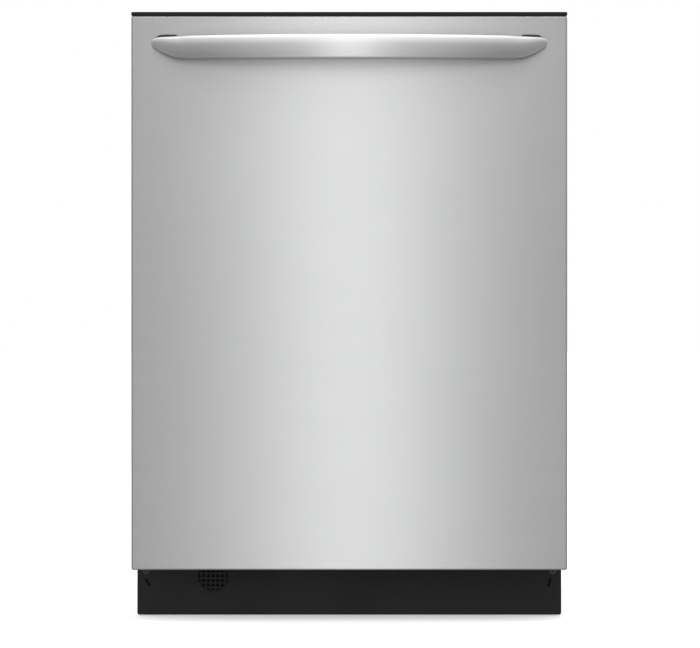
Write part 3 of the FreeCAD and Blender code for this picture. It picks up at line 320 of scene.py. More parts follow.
mesh_steel("filter_mesh", (0.5, 0.5, 0.51))
board("board_green")

for name, obj in frame["nodes"].items():
    m = MATS[slot_of[name]]
    if len(obj.data.materials) == 0:
        obj.data.materials.append(m)
    for k in range(len(obj.material_slots)):
        obj.material_slots[k].material = m


# ------------------------------------------------------------------ mesh tools
class Builder:
    def __init__(self):
        self.v = []
        self.f = []

    def add(self, verts, faces):
        base = len(self.v)
        self.v.extend(tuple(p) for p in verts)
        self.f.extend(tuple(base + i for i in f) for f in faces)

    def tube(self, pts, r, seg=8, closed=False, cap=True):
        pts = [V(p) for p in pts]
        n = len(pts)
        rad = r if isinstance(r, (list, tuple)) else [r] * n
        tang = []
        for i in range(n):
            if closed:
                d = pts[(i + 1) % n] - pts[i - 1]
            elif i == 0:
                d = pts[1] - pts[0]
            elif i == n - 1:
                d = pts[-1] - pts[-2]
            else:
                d = (pts[i + 1] - pts[i]).normalized() + (pts[i] - pts[i - 1]).normalized()
            tang.append(d.normalized())
        up = V((0, 0, 1)) if abs(tang[0].z) < 0.9 else V((0, 1, 0))
        side = tang[0].cross(up).normalized()
        verts = []
        for i in range(n):
            side = (side - tang[i] * side.dot(tang[i])).normalized()
            other = tang[i].cross(side)
            for k in range(seg):
                a = 2 * math.pi * k / seg
                verts.append(pts[i] + (side * math.cos(a) + other * math.sin(a)) * rad[i])
        faces = []
        for i in range(n if closed else n - 1):
            j = (i + 1) % n
            for k in range(seg):
                q = (k + 1) % seg
                faces.append((i * seg + k, i * seg + q, j * seg + q, j * seg + k))
        if not closed and cap:
            faces.append(tuple(range(seg))[::-1])
            faces.append(tuple((n - 1) * seg + k for k in range(seg)))
        self.add(verts, faces)

    def rod(self, pts, r, seg=8, tip=True):
        """A tube with rounded ends."""
        pts = [V(p) for p in pts]
        if not tip:
            return self.tube(pts, r, seg)
        a = (pts[1] - pts[0]).normalized()
        b = (pts[-1] - pts[-2]).normalized()
        line = [pts[0], pts[0] + a * r * 0.13, pts[0] + a * r * 0.5, pts[0] + a * r] + pts[1:-1] + \
               [pts[-1] - b * r, pts[-1] - b * r * 0.5, pts[-1] - b * r * 0.13, pts[-1]]
        radii = [r * 0.25, r * 0.62, r * 0.88, r] + [r] * (len(pts) - 2) + [r, r * 0.88, r * 0.62, r * 0.25]
        self.tube(line, radii, seg)

    def box(self, lo, hi, bevel=0.0, seg=2, turn=None):
        bm = bmesh.new()
        bmesh.ops.create_cube(bm, size=1.0)
        lo, hi = V(lo), V(hi)
        mid, size = (lo + hi) / 2, hi - lo
        for v in bm.verts:
            v.co = V((v.co.x * size.x, v.co.y * size.y, v.co.z * size.z))
        if bevel > 0:
            bmesh.ops.bevel(bm, geom=list(bm.edges), offset=min(bevel, min(size) * 0.49),
                            segments=seg, profile=0.5, affect="EDGES")
        if turn is not None:
            bmesh.ops.transform(bm, matrix=turn.to_4x4(), verts=bm.verts)
        bm.verts.index_update()
        self.add([v.co + mid for v in bm.verts], [[v.index for v in f.verts] for f in bm.faces])
        bm.free()

    def lathe(self, profile, axis, centre, seg=48, closed=False, start=0.0, full=True):
        """profile is a list of (radius, height along the axis)."""
        c = V(centre)
        ax = {"X": (V((0, 1, 0)), V((0, 0, 1)), V((1, 0, 0))),
              "Y": (V((0, 0, 1)), V((1, 0, 0)), V((0, 1, 0))),
              "Z": (V((1, 0, 0)), V((0, 1, 0)), V((0, 0, 1)))}[axis]
        verts, faces = [], []
        n = len(profile)
        for k in range(seg):
            a = 2 * math.pi * k / seg + start
            for r, h in profile:
                verts.append(c + (ax[0] * math.cos(a) + ax[1] * math.sin(a)) * r + ax[2] * h)
        for k in range(seg):
            q = (k + 1) % seg
            for i in range(n if closed else n - 1):
                j = (i + 1) % n
                faces.append((k * n + i, q * n + i, q * n + j, k * n + j))
        if not closed:
            if profile[0][0] > 1e-6:
                faces.append(tuple(k * n for k in range(seg))[::-1])
            if profile[-1][0] > 1e-6:
                faces.append(tuple(k * n + n - 1 for k in range(seg)))
        self.add(verts, faces)

    def loft(self, rings, caps=True, loop=False):
        n, m = len(rings), len(rings[0])
        verts = [p for ring in rings for p in ring]
        faces = []
        for i in range(n if loop else n - 1):
            j = (i + 1) % n
            for k in range(m):
                q = (k + 1) % m
                faces.append((i * m + k, i * m + q, j * m + q, j * m + k))
        if caps and not loop:
            faces.append(tuple(range(m))[::-1])
            faces.append(tuple((n - 1) * m + k for k in range(m)))
        self.add(verts, faces)

    def prism(self, outline, lo, hi, axis="Y", bevel=0.0, seg=2):
        """outline points in the plane across the axis, extruded from lo to hi."""
        bm = bmesh.new()
        order = {"X": lambda u, w, t: V((t, u, w)), "Y": lambda u, w, t: V((u, t, w)),
                 "Z": lambda u, w, t: V((u, w, t))}[axis]
        a = [bm.verts.new(order(u, w, lo)) for u, w in outline]
        b = [bm.verts.new(order(u, w, hi)) for u, w in outline]
        n = len(outline)
        bm.faces.new(a[::-1])
        bm.faces.new(b)
        for i in range(n):
            j = (i + 1) % n
            bm.faces.new((a[i], a[j], b[j], b[i]))
        bmesh.ops.recalc_face_normals(bm, faces=bm.faces)
        if bevel > 0:
            edges = [e for e in bm.edges if (e.verts[0] in a) == (e.verts[1] in a)]
            bmesh.ops.bevel(bm, geom=edges, offset=bevel, segments=seg, profile=0.5, affect="EDGES")
        bm.verts.index_update()
        self.add([v.co for v in bm.verts], [[v.index for v in f.verts] for f in bm.faces])
        bm.free()

    def mirror(self):
        """Add the same mesh mirrored across X."""
        n = len(self.v)
        faces = list(self.f)
        self.v.extend((-x, y, z) for x, y, z in list(self.v))
        self.f.extend(tuple(n + i for i in f)[::-1] for f in faces)

    def make(self, name, body, slot, replaces=(), sharp=32, merge=True):
        me = bpy.data.meshes.new(name)
        me.from_pydata(self.v, [], self.f)
        bm = bmesh.new()
        bm.from_mesh(me)
        if merge:
            bmesh.ops.remove_doubles(bm, verts=bm.verts, dist=1e-6)
        bmesh.ops.dissolve_degenerate(bm, dist=1e-7, edges=bm.edges)
        bmesh.ops.recalc_face_normals(bm, faces=bm.faces)
        bm.to_mesh(me)
        bm.free()
        for p in me.polygons:
            p.use_smooth = True
        me.set_sharp_from_angle(angle=math.radians(sharp))
        ob = bpy.data.objects.new(name, me)
        bpy.context.scene.collection.objects.link(ob)
        me.materials.append(MATS[slot])
        if body:
            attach(ob, body)
        if replaces:
            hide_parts(*replaces)
        return ob


def rounded(pts, r, closed=False, n=5):
    """Polyline with its corners rounded to radius r."""
    pts = [V(p) for p in pts]
    out = []
    m = len(pts)
    for i in range(m):
        if not closed and i in (0, m - 1):
            out.append(pts[i])
            continue
        p, a, b = pts[i], pts[i - 1], pts[(i + 1) % m]
        da, db = (a - p), (b - p)
        la, lb = da.length, db.length
        da.normalize()
        db.normalize()
        ang = da.angle(db)
        if ang > math.pi - 0.02:
            out.append(p)
            continue
        cut = min(r / math.tan(ang / 2), la * 0.49, lb * 0.49)
        rr = cut * math.tan(ang / 2)
        mid = p + (da + db).normalized() * (rr / math.sin(ang / 2))
        s, e = p + da * cut - mid, p + db * cut - mid
        turn = s.angle(e)
        for k in range(n + 1):
            t = k / n
            out.append(mid + (s * math.sin((1 - t) * turn) + e * math.sin(t * turn)) / math.sin(turn))
    return out


def ease(table, x):
    """Monotone cubic through a table of (x, y)."""
    xs = [p[0] for p in table]
    ys = [p[1] for p in table]
    n = len(xs)
    if x <= xs[0]:
        return ys[0]
    if x >= xs[-1]:
        return ys[-1]
    d = [(ys[i + 1] - ys[i]) / (xs[i + 1] - xs[i]) for i in range(n - 1)]
    m = [d[0]] + [0.0 if d[i - 1] * d[i] <= 0 else 2 * d[i - 1] * d[i] / (d[i - 1] + d[i])
                  for i in range(1, n - 1)] + [d[-1]]
    for i in range(n - 1):
        if x <= xs[i + 1]:
            w = xs[i + 1] - xs[i]
            t = (x - xs[i]) / w
            return ((2 * t ** 3 - 3 * t * t + 1) * ys[i] + (t ** 3 - 2 * t * t + t) * w * m[i] +
                    (-2 * t ** 3 + 3 * t * t) * ys[i + 1] + (t ** 3 - t * t) * w * m[i + 1])
    return ys[-1]


MM = 0.001

# ------------------------------------------------------------------ handle
HW, HF, HT, HS, TH = 0.2758, -0.320, -0.2805, -0.2775, 0.013
SAG = HT - HF
HR = (HW * HW + SAG * SAG) / (2 * SAG)
HC = HF + HR
low_edge = [(0, 808.8), (0.5, 805.0), (1.4, 802.5), (3.4, 800.2), (6.3, 798.0), (12.6, 793.7), (22.4, 788.6),
            (31.1, 785.2), (40.4, 783.2), (50, 782.6), (60, 782.5)]
top_edge = [(0, 808.8), (0.7, 810.9), (2.6, 812.4), (6, 813.7), (12, 814.4), (25, 815.0), (38, 815.7), (52, 816.5)]


def handle():
    b = Builder()
    ds = [60 * (i / 34.0) ** 2.0 for i in range(1, 35)]
    ds[0:0] = [0.012]
    xs = [-(HW - d * MM) for d in ds]
    inner = xs[-1]
    mids = [inner + (0 - inner) * i / 26.0 for i in range(1, 27)]
    left = xs + mids
    stations = left + [-x for x in left[-2::-1]]
    rings = []
    n = 44
    for x in stations:
        d = (HW - abs(x)) / MM
        z0, z1 = ease(low_edge, d) * MM, ease(top_edge, d) * MM
        z0 -= 0.0017 * ease([(0, 0), (45, 0), (140, 0.72), (276, 1)], d)
        yf = HC - math.sqrt(HR * HR - x * x)
        rin = HR - TH
        yb = HC - math.sqrt(max(rin * rin - x * x, 0))
        yb = min(yb, HS)
        zc, hz = (z0 + z1) / 2, max((z1 - z0) / 2, 0.00003)
        lip = min(1.0, hz / 0.012)
        yc, hy = (yf + yb) / 2, (yb - yf) / 2
        ring = []
        for k in range(n):
            a = 2 * math.pi * k / n
            s, c = math.sin(a), math.cos(a)
            ez = (0.80 if s > 0 else 0.60) if c > 0 else 0.5
            ey = (0.80 if s > 0 else 0.60) if c > 0 else 0.42
            z = zc + hz * math.copysign(abs(s) ** ez, s)
            y = yc - hy * math.copysign(abs(c) ** ey, c)
            if yb >= HS - 1e-6 and c < 0:
                y = min(y, HS)
            ring.append(V((x, y, z)))
        rings.append(ring)
    b.loft(rings)
    return b.make("bar_handle", "door", "handle_steel", ("door_handle",), sharp=60)


handle()


def feet():
    b = Builder()
    pts = rounded([(239, 0, 787.5), (250, 0, 790.5), (262, 0, 796.2), (270, 0, 802.5), (272.6, 0, 808.5),
                   (270.6, 0, 814), (264, 0, 817.9), (256, 0, 818.4), (239, 0, 818.4)], 4, closed=True, n=4)
    b.prism([(p.x * MM, p.z * MM) for p in pts], HS, -0.276, "Y", bevel=0.0004, seg=2)
    b.mirror()
    b.make("handle_pads", "door", "handle_foot", ("handle_feet",))


feet()


# ------------------------------------------------------------------ screws
def phillips(b, centre, axis, r, high, shank_r, shank_len, out=-1):
    """Pan head screw with a cross recess, built as a lathe whose top is pulled in along a cross."""
    c = V(centre)
    seg = 48
    rings = [0.0, 0.16, 0.3, 0.42, 0.52, 0.66, 0.82, 0.93, 0.985, 1.0]
    rows = []
    for q in rings:
        row = []
        for k in range(seg):
            a = 2 * math.pi * k / seg
            u, w = math.cos(a) * q * r, math.sin(a) * q * r
            dome = high * (1 - 0.55 * q ** 3) if q < 0.99 else high * 0.38
            arm = min(abs(u), abs(w))
            reach = max(abs(u), abs(w))
            if arm < 0.13 * r and reach < 0.56 * r:
                dome -= high * 0.85 * (1 - (reach / (0.56 * r)) ** 3 * 0.6)
            row.append((u, w, dome))
        rows.append(row)
    rows.append([(math.cos(2 * math.pi * k / seg) * r, math.sin(2 * math.pi * k / seg) * r, 0.0)
                 for k in range(seg)])
    for rr, h in ((shank_r, 0.0), (shank_r, -shank_len), (shank_r * 0.3, -shank_len - shank_r)):
        rows.append([(math.cos(2 * math.pi * k / seg) * rr, math.sin(2 * math.pi * k / seg) * rr, h)
                     for k in range(seg)])

    def place(p):
        u, w, h = p
        if axis == "Y":
            return c + V((u, out * h, w))
        if axis == "X":
            return c + V((out * h, u, w))
        return c + V((u, w, out * h))
    b.loft([[place(p) for p in row] for row in rows])


b = Builder()
for sx in (-1, 1):
    phillips(b, (sx * 0.289, -0.191, 0.064), "Y", 0.005, 0.002, 0.0021, 0.02)
kick_screws = b.make("toe_kick_screws", "cabinet", "screw_steel", ("frame_screws",))
kick_screws.data.materials[0] = MATS["screw_black"]

b = Builder()
for z in (140, 300, 460, 620, 780):
    for sx in (-1, 1):
        c = V((sx * 0.3031, -0.263, z * MM))
        phillips(b, c, "X", 0.0031, 0.0008, 0.0018, 0.006, out=sx)
b.make("side_screws", "door", "screw_steel", ("door_screws",))


# ------------------------------------------------------------------ racks
def rim_loop(b, x, y0, y1, z, r, corner=22, seg=10):
    b.tube(rounded([(-x, y0, z), (x, y0, z), (x, y1, z), (-x, y1, z)], corner * MM, closed=True, n=6),
           r, seg, closed=True)


def wire_rack(b, hw, y0, y1, z0, z1, nx, ny, loops, wr=0.0015, rr=0.0022):
    e = rr + 0.0002
    X, Y0, Y1 = hw - e, y0 + e, y1 - e
    for z in loops:
        rim_loop(b, X, Y0, Y1, z, wr)
    rim_loop(b, X, Y0, Y1, z1 - rr, rr)
    rim_loop(b, X, Y0, Y1, z0 + 0.020, rr)
    for i in range(nx):
        x = -X + 0.022 + (2 * X - 0.044) * i / (nx - 1)
        b.rod(rounded([(x, Y0 + wr + rr, z1 - rr), (x, Y0 + wr + rr, z0 + wr), (x, Y1 - wr - rr, z0 + wr),
                       (x, Y1 - wr - rr, z1 - rr)], 0.012, n=4), wr, 8)
    for i in range(ny):
        y = Y0 + 0.022 + (Y1 - Y0 - 0.044) * i / (ny - 1)
        b.rod(rounded([(-X + wr + rr, y, z1 - rr), (-X + wr + rr, y, z0 + 3 * wr), (X - wr - rr, y, z0 + 3 * wr),
                       (X - wr - rr, y, z1 - rr)], 0.012, n=4), wr, 8)


def tine_row(b, x, y0, y1, z0, z1, n, wr=0.0015, lean=0.0):
    b.rod([(x, y0, z0), (x, y1, z0)], wr, 8)
    for i in range(n):
        y = y0 + 0.004 + (y1 - y0 - 0.008) * i / (n - 1)
        b.rod([(x, y, z0), (x + lean * 0.5, y, (z0 + z1) / 2), (x + lean, y, z1)], wr, 8)


b = Builder()
wire_rack(b, 0.262, -0.178, 0.240, 0.530, 0.690, 15, 12, (0.575, 0.610, 0.650))
for x in (-0.2084, -0.1042, 0.1042, 0.2084):
    tine_row(b, x, -0.150, 0.210, 0.5360, 0.588, 13)
    tine_row(b, x + (0.032 if x < 0 else -0.032), -0.150, 0.210, 0.5360, 0.566, 13)
for sx in (-1, 1):
    for y in (-0.131, 0.071):
        pts = [V((sx * 0.252 + 0.0048 * math.cos(a), y, 0.640 + 0.0048 * math.sin(a)))
               for a in [math.radians(d) for d in range(-60 if sx > 0 else 120, 241 if sx > 0 else 421, 15)]]
        for off in (-0.003, 0.0, 0.003):
            b.tube([p + V((0, off, 0)) for p in pts], 0.0016, 6)
        b.box((min(sx * 0.2565, sx * 0.2605), y - 0.0048, 0.632), (max(sx * 0.2565, sx * 0.2605), y + 0.0048, 0.648), 0.0012)
b.make("upper_rack_wires", "upper_rack_body", "rack_coat", ("upper_rack",), sharp=50, merge=False)

for side, body, node in ((-1, "shelf_left_body", "cup_shelf_left"), (1, "shelf_right_body", "cup_shelf_right")):
    b = Builder()
    b.rod([(side * 0.252, -0.137, 0.640), (side * 0.252, 0.077, 0.640)], 0.0022, 10)
    loop = rounded([(side * 0.2515, -0.121, 0.640), (side * 0.1415, -0.121, 0.640),
                    (side * 0.1415, 0.061, 0.640), (side * 0.2515, 0.061, 0.640)], 0.014, n=6)
    b.tube(loop, 0.0015, 8)
    for x in (0.160, 0.182, 0.204, 0.226):
        b.rod([(side * x, -0.121, 0.640), (side * x, 0.061, 0.640)], 0.0013, 8)
    for y in (-0.085, -0.048, -0.012, 0.025):
        b.rod([(side * 0.2515, y, 0.6406), (side * 0.1415, y, 0.6406)], 0.0013, 8)
    b.make(node + "_wires", body, "rack_coat", (node,), sharp=50, merge=False)

b = Builder()
wire_rack(b, 0.250, -0.178, 0.245, 0.206, 0.330, 15, 13, (0.250, 0.290))
for x in (-0.1988, -0.1491, -0.0994, 0.0994, 0.1491):
    tine_row(b, x, -0.150, 0.220, 0.2120, 0.292, 15, lean=0.0)
for y in (-0.157, 0.217):
    b.box((0.0444, y - 0.0028, 0.2095), (0.0560, y + 0.0028, 0.2195), 0.001)
for sx in (-1, 1):
    for y in (-0.120, 0.180):
        lo, hi = sorted((sx * 0.2472, sx * 0.2502))
        b.prism([(y - 0.0068, 0.2085), (y - 0.0066, 0.178), (y - 0.0045, 0.1722), (y, 0.1704), (y + 0.0045, 0.1722),
                 (y + 0.0066, 0.178), (y + 0.0068, 0.2085)], lo, hi, "X", 0.0006)
        b.rod([(sx * 0.248, y, 0.1773), (sx * 0.2648, y, 0.1773)], 0.0029, 12)
        b.box((min(sx * 0.2440, sx * 0.2475), y - 0.010, 0.206), (max(sx * 0.2440, sx * 0.2475), y + 0.010, 0.222), 0.001)
b.make("lower_rack_wires", "lower_rack_body", "rack_coat", ("lower_rack",), sharp=50, merge=False)

b = Builder()
b.rod([(0.0502, -0.160, 0.214), (0.0502, 0.220, 0.214)], 0.0024, 10)
for i in range(14):
    y = -0.146 + 0.352 * i / 13
    b.rod([(0.0502, y, 0.214), (0.0502, y, 0.254), (0.0502, y, 0.290)], 0.0015, 8)
b.make("fold_tine_wires", "fold_tines_body", "rack_coat", ("fold_tines",), sharp=50, merge=False)

# wheels: tread, web with round windows, hub
for node, body, y in (("lower_wheels_front", "wheels_front_body", -0.120), ("lower_wheels_rear", "wheels_rear_body", 0.180)):
    b = Builder()
    c = V((0.259, y, 0.1773))
    b.lathe([(0.0158, -0.0040), (0.0178, -0.0040), (0.0188, -0.0031), (0.019, -0.002), (0.019, 0.002),
             (0.0188, 0.0031), (0.0178, 0.0040), (0.0158, 0.0040), (0.0154, 0.0030), (0.0154, -0.0030)], "X", c, 56, closed=True)
    b.lathe([(0.0031, -0.0060), (0.0064, -0.0060), (0.0070, -0.0054), (0.0070, 0.0050), (0.0064, 0.0055), (0.0031, 0.0055)],
            "X", c, 40, closed=True)
    for k in range(6):
        a = math.pi * 2 * k / 6
        d, t = V((0, math.cos(a), math.sin(a))), V((0, -math.sin(a), math.cos(a)))
        rings = []
        for r, half, thick in ((0.0062, 0.0022, 0.0026), (0.0090, 0.0014, 0.0016), (0.0130, 0.0014, 0.0016), (0.0160, 0.0024, 0.0026)):
            rings.append([c + d * r + t * u * half + V((w * thick, 0, 0)) for u, w in
                          ((-1, -0.7), (-0.7, -1), (0.7, -1), (1, -0.7), (1, 0.7), (0.7, 1), (-0.7, 1), (-1, 0.7))])
        b.loft(rings)
    b.mirror()
    b.make(node + "_rollers", body, "wheel_plastic", (node,), sharp=40, merge=False)


# cutlery basket: rims, posts and slats round three compartments
b = Builder()
X0, X1, Y0, Y1, Z0, Z1 = 0.168, 0.240, -0.150, 0.185, 0.209, 0.330
for z, hgt in ((Z0 + 0.003, 0.006), (Z1 - 0.005, 0.010), (0.262, 0.005)):
    for lo, hi in (((X0, Y0, z - hgt / 2), (X1, Y0 + 0.002, z + hgt / 2)), ((X0, Y1 - 0.002, z - hgt / 2), (X1, Y1, z + hgt / 2)),
                   ((X0, Y0, z - hgt / 2), (X0 + 0.002, Y1, z + hgt / 2)), ((X1 - 0.002, Y0, z - hgt / 2), (X1, Y1, z + hgt / 2))):
        b.box(lo, hi, 0.0005)
for y in (Y0 + 0.003, -0.039, 0.073, Y1 - 0.003):
    for x in (X0 + 0.003, X1 - 0.003):
        b.box((x - 0.003, y - 0.003, Z0), (x + 0.003, y + 0.003, Z1), 0.001)
n = 36
for i in range(1, n):
    y = Y0 + (Y1 - Y0) * i / n
    for x in (X0 + 0.001, X1 - 0.001):
        b.box((x - 0.0009, y - 0.0012, Z0 + 0.002), (x + 0.0009, y + 0.0012, Z1 - 0.002), 0.0003, 1)
for i in range(1, 8):
    x = X0 + (X1 - X0) * i / 8
    for y in (Y0 + 0.001, -0.039, 0.073, Y1 - 0.001):
        b.box((x - 0.0012, y - 0.0009, Z0 + 0.002), (x + 0.0012, y + 0.0009, Z1 - 0.002), 0.0003, 1)
    b.box((x - 0.0012, Y0 + 0.001, Z0 + 0.0005), (x + 0.0012, Y1 - 0.001, Z0 + 0.0028), 0.0003, 1)
for i in range(1, 34):
    y = Y0 + (Y1 - Y0) * i / 34
    b.box((X0 + 0.001, y - 0.0011, Z0 + 0.0008), (X1 - 0.001, y + 0.0011, Z0 + 0.0024), 0.0003, 1)
for y in (-0.039, 0.073):
    b.box((X0 + 0.001, y - 0.001, Z1 - 0.012), (X1 - 0.001, y + 0.001, Z1), 0.0005)
arch = rounded([(0.204, -0.036, 0.322), (0.204, -0.036, 0.394), (0.204, 0.070, 0.394), (0.204, 0.070, 0.322)], 0.016, n=6)
for dx in (-0.003, 0, 0.003):
    b.tube([p + V((dx, 0, 0)) for p in arch], 0.0032, 10)
b.make("cutlery_basket", "lower_rack_body", "basket_plastic", ("silverware_basket",), sharp=40, merge=False)


# ------------------------------------------------------------------ spray arms
def arm_mesh(name, body, node, reach, z0, z1, hub_r):
    b = Builder()
    zc, hz = (z0 + z1) / 2, (z1 - z0) / 2 - 0.002
    rings = []
    n = 24
    half = [(1.0, 0.0006), (0.996, 0.004), (0.985, 0.0075), (0.965, 0.0105), (0.93, 0.0122), (0.8, 0.0136), (0.6, 0.0153),
            (0.42, 0.0168), (0.25, 0.0182), (0.1, 0.0186), (0.0, 0.0186)]
    prof = [(-q, w) for q, w in half] + [(q, w) for q, w in half[::-1][1:]]
    for q, w in prof:
        x = q * (reach - 0.001)
        h = hz * min(1.0, (w / 0.0122) ** 0.8) if w < 0.0122 else hz
        ring = []
        for k in range(n):
            a = 2 * math.pi * k / n
            s, c = math.sin(a), math.cos(a)
            ring.append(V((x, 0.040 + w * math.copysign(abs(c) ** 0.75, c), zc + h * math.copysign(abs(s) ** 0.8, s))))
        rings.append(ring)
    b.loft(rings)
    b.lathe([(0.0068, z0 - zc), (hub_r - 0.002, z0 - zc), (hub_r - 0.0004, z0 - zc + 0.0016), (hub_r - 0.0004, z1 - zc - 0.003),
             (hub_r - 0.003, z1 - zc), (hub_r * 0.55, z1 - zc), (hub_r * 0.5, z1 - zc - 0.001), (0.0068, z1 - zc - 0.001)],
            "Z", (0, 0.040, zc), 48, closed=True)
    for k, x in enumerate((-0.200, -0.165, -0.125, -0.085, 0.060, 0.100, 0.145, 0.185)):
        if abs(x) > reach - 0.02:
            continue
        y = 0.040 + (0.005 if k % 2 else -0.005)
        b.lathe([(0.0022, 0.0), (0.0048, 0.0), (0.0045, 0.0014), (0.0028, 0.0018), (0.0024, 0.0012)], "Z",
                (x, y, zc + hz - 0.0010), 20, closed=True)
        b.box((x - 0.0016, y - 0.0005, zc + hz - 0.0002), (x + 0.0016, y + 0.0005, zc + hz + 0.0004), 0.0001, 1)
    for k in range(8):
        a = math.pi * k / 4 + 0.2
        p = V((math.cos(a) * hub_r * 0.82, 0.040 + math.sin(a) * hub_r * 0.82, z1 - 0.0012))
        b.box(p - V((0.001, 0.001, 0.001)), p + V((0.001, 0.001, 0.001)), 0.0004, 1)
    b.make(name, body, "arm_plastic", (node,), sharp=40, merge=False)


arm_mesh("lower_arm_shell", "lower_arm_body", "lower_spray_arm", 0.225, 0.180, 0.198, 0.022)
arm_mesh("upper_arm_shell", "upper_arm_body", "upper_spray_arm", 0.215, 0.478, 0.492, 0.020)


# ------------------------------------------------------------------ springs and cables
for sx, nm in ((-1, "left"), (1, "right")):
    b = Builder()
    cx, cz = sx * 0.290, 0.1236
    y0, y1 = -0.1195, 0.0580
    turns = 64
    pts = []
    steps_n = turns * 14
    for i in range(steps_n + 1):
        t = i / steps_n
        a = 2 * math.pi * turns * t
        y = y0 + 0.008 + (y1 - y0 - 0.016) * t
        pts.append(V((cx + 0.0044 * math.cos(a), y, cz + 0.0044 * math.sin(a))))
    hook_a = [V((cx, y0, cz)), V((cx, y0 + 0.003, cz + 0.0012)), V((cx + 0.0022, y0 + 0.0065, cz + 0.0006))]
    hook_b = [V((cx + 0.0022, y1 - 0.0065, cz + 0.0006)), V((cx, y1 - 0.003, cz + 0.0012)), V((cx, y1 + 0.001, cz))]
    b.tube(hook_a + pts + hook_b, 0.00105, 6)
    ob = b.make("coil_spring_" + nm, None, "spring_steel", ("door_springs",), sharp=60, merge=False)
    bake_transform(ob)

b = Builder()
for sx in (-1, 1):
    cx, cz = sx * 0.290, 0.1236
    for s in range(5):
        pts = []
        for i in range(61):
            y = -0.2455 + 0.1240 * i / 60
            a = 2 * math.pi * (i / 60 * 7 + s / 5)
            pts.append(V((cx + 0.0007 * math.cos(a), y, cz + 0.0007 * math.sin(a))))
        b.tube(pts, 0.00052, 5)
    b.lathe([(0.0009, 0), (0.0013, 0.0004), (0.0013, 0.0095), (0.0009, 0.010)], "Y", (cx, -0.1310, cz), 16)
    b.lathe([(0.0009, 0), (0.0013, 0.0004), (0.0013, 0.0055), (0.0009, 0.006)], "Y", (cx, -0.2459, cz), 16)
b.make("twisted_cables", "cables_body", "spring_steel", ("spring_cables",), sharp=50, merge=False)


# ------------------------------------------------------------------ levelling legs with thread
def thread_leg(name, body, node, x, y):
    b = Builder()
    seg, pitch = 20, 0.0015
    z0, z1 = 0.019, 0.080
    rows = []
    n = int((z1 - z0) / pitch * 4)
    for i in range(n + 1):
        z = z0 + (z1 - z0) * i / n
        row = []
        for k in range(seg):
            ph = ((z - z0) / pitch - k / seg) % 1.0
            tri = 1 - abs(2 * ph - 1)
            fade = min(1.0, (z1 - z) / 0.002)
            r = 0.0042 + 0.0008 * tri * fade
            a = 2 * math.pi * k / seg
            row.append(V((x + r * math.cos(a), y + r * math.sin(a), z)))
        rows.append(row)
    b.loft(rows)
    b.lathe([(0.0030, 0.0), (0.0166, 0.0), (0.0176, 0.0008), (0.0179, 0.0025), (0.0179, 0.0070), (0.0172, 0.0088), (0.0150, 0.0100),
             (0.0100, 0.0113), (0.0085, 0.0118), (0.0030, 0.0120)], "Z", (x, y, 0), 48)
    hexa = [(x + 0.0088 * math.cos(math.radians(60 * k)), y + 0.0088 * math.sin(math.radians(60 * k))) for k in range(6)]
    b.prism(hexa, 0.0116, 0.0190, "Z", 0.0006)
    for k in range(24):
        a = 2 * math.pi * k / 24
        p = V((x + 0.0178 * math.cos(a), y + 0.0178 * math.sin(a), 0.0048))
        b.box(p - V((0.0005, 0.0005, 0.0020)), p + V((0.0002, 0.0002, 0.0020)), 0.0002, 1)
    b.make(name, body, "leg_steel", (node,), sharp=40, merge=False)


thread_leg("leg_fl_thread", "leg_fl", "leg_front_left", -0.280, -0.155)
thread_leg("leg_fr_thread", "leg_fr", "leg_front_right", 0.280, -0.155)
thread_leg("leg_rl_thread", "leg_rl", "leg_rear_left", -0.280, 0.290)
thread_leg("leg_rr_thread", "leg_rr", "leg_rear_right", 0.280, 0.290)


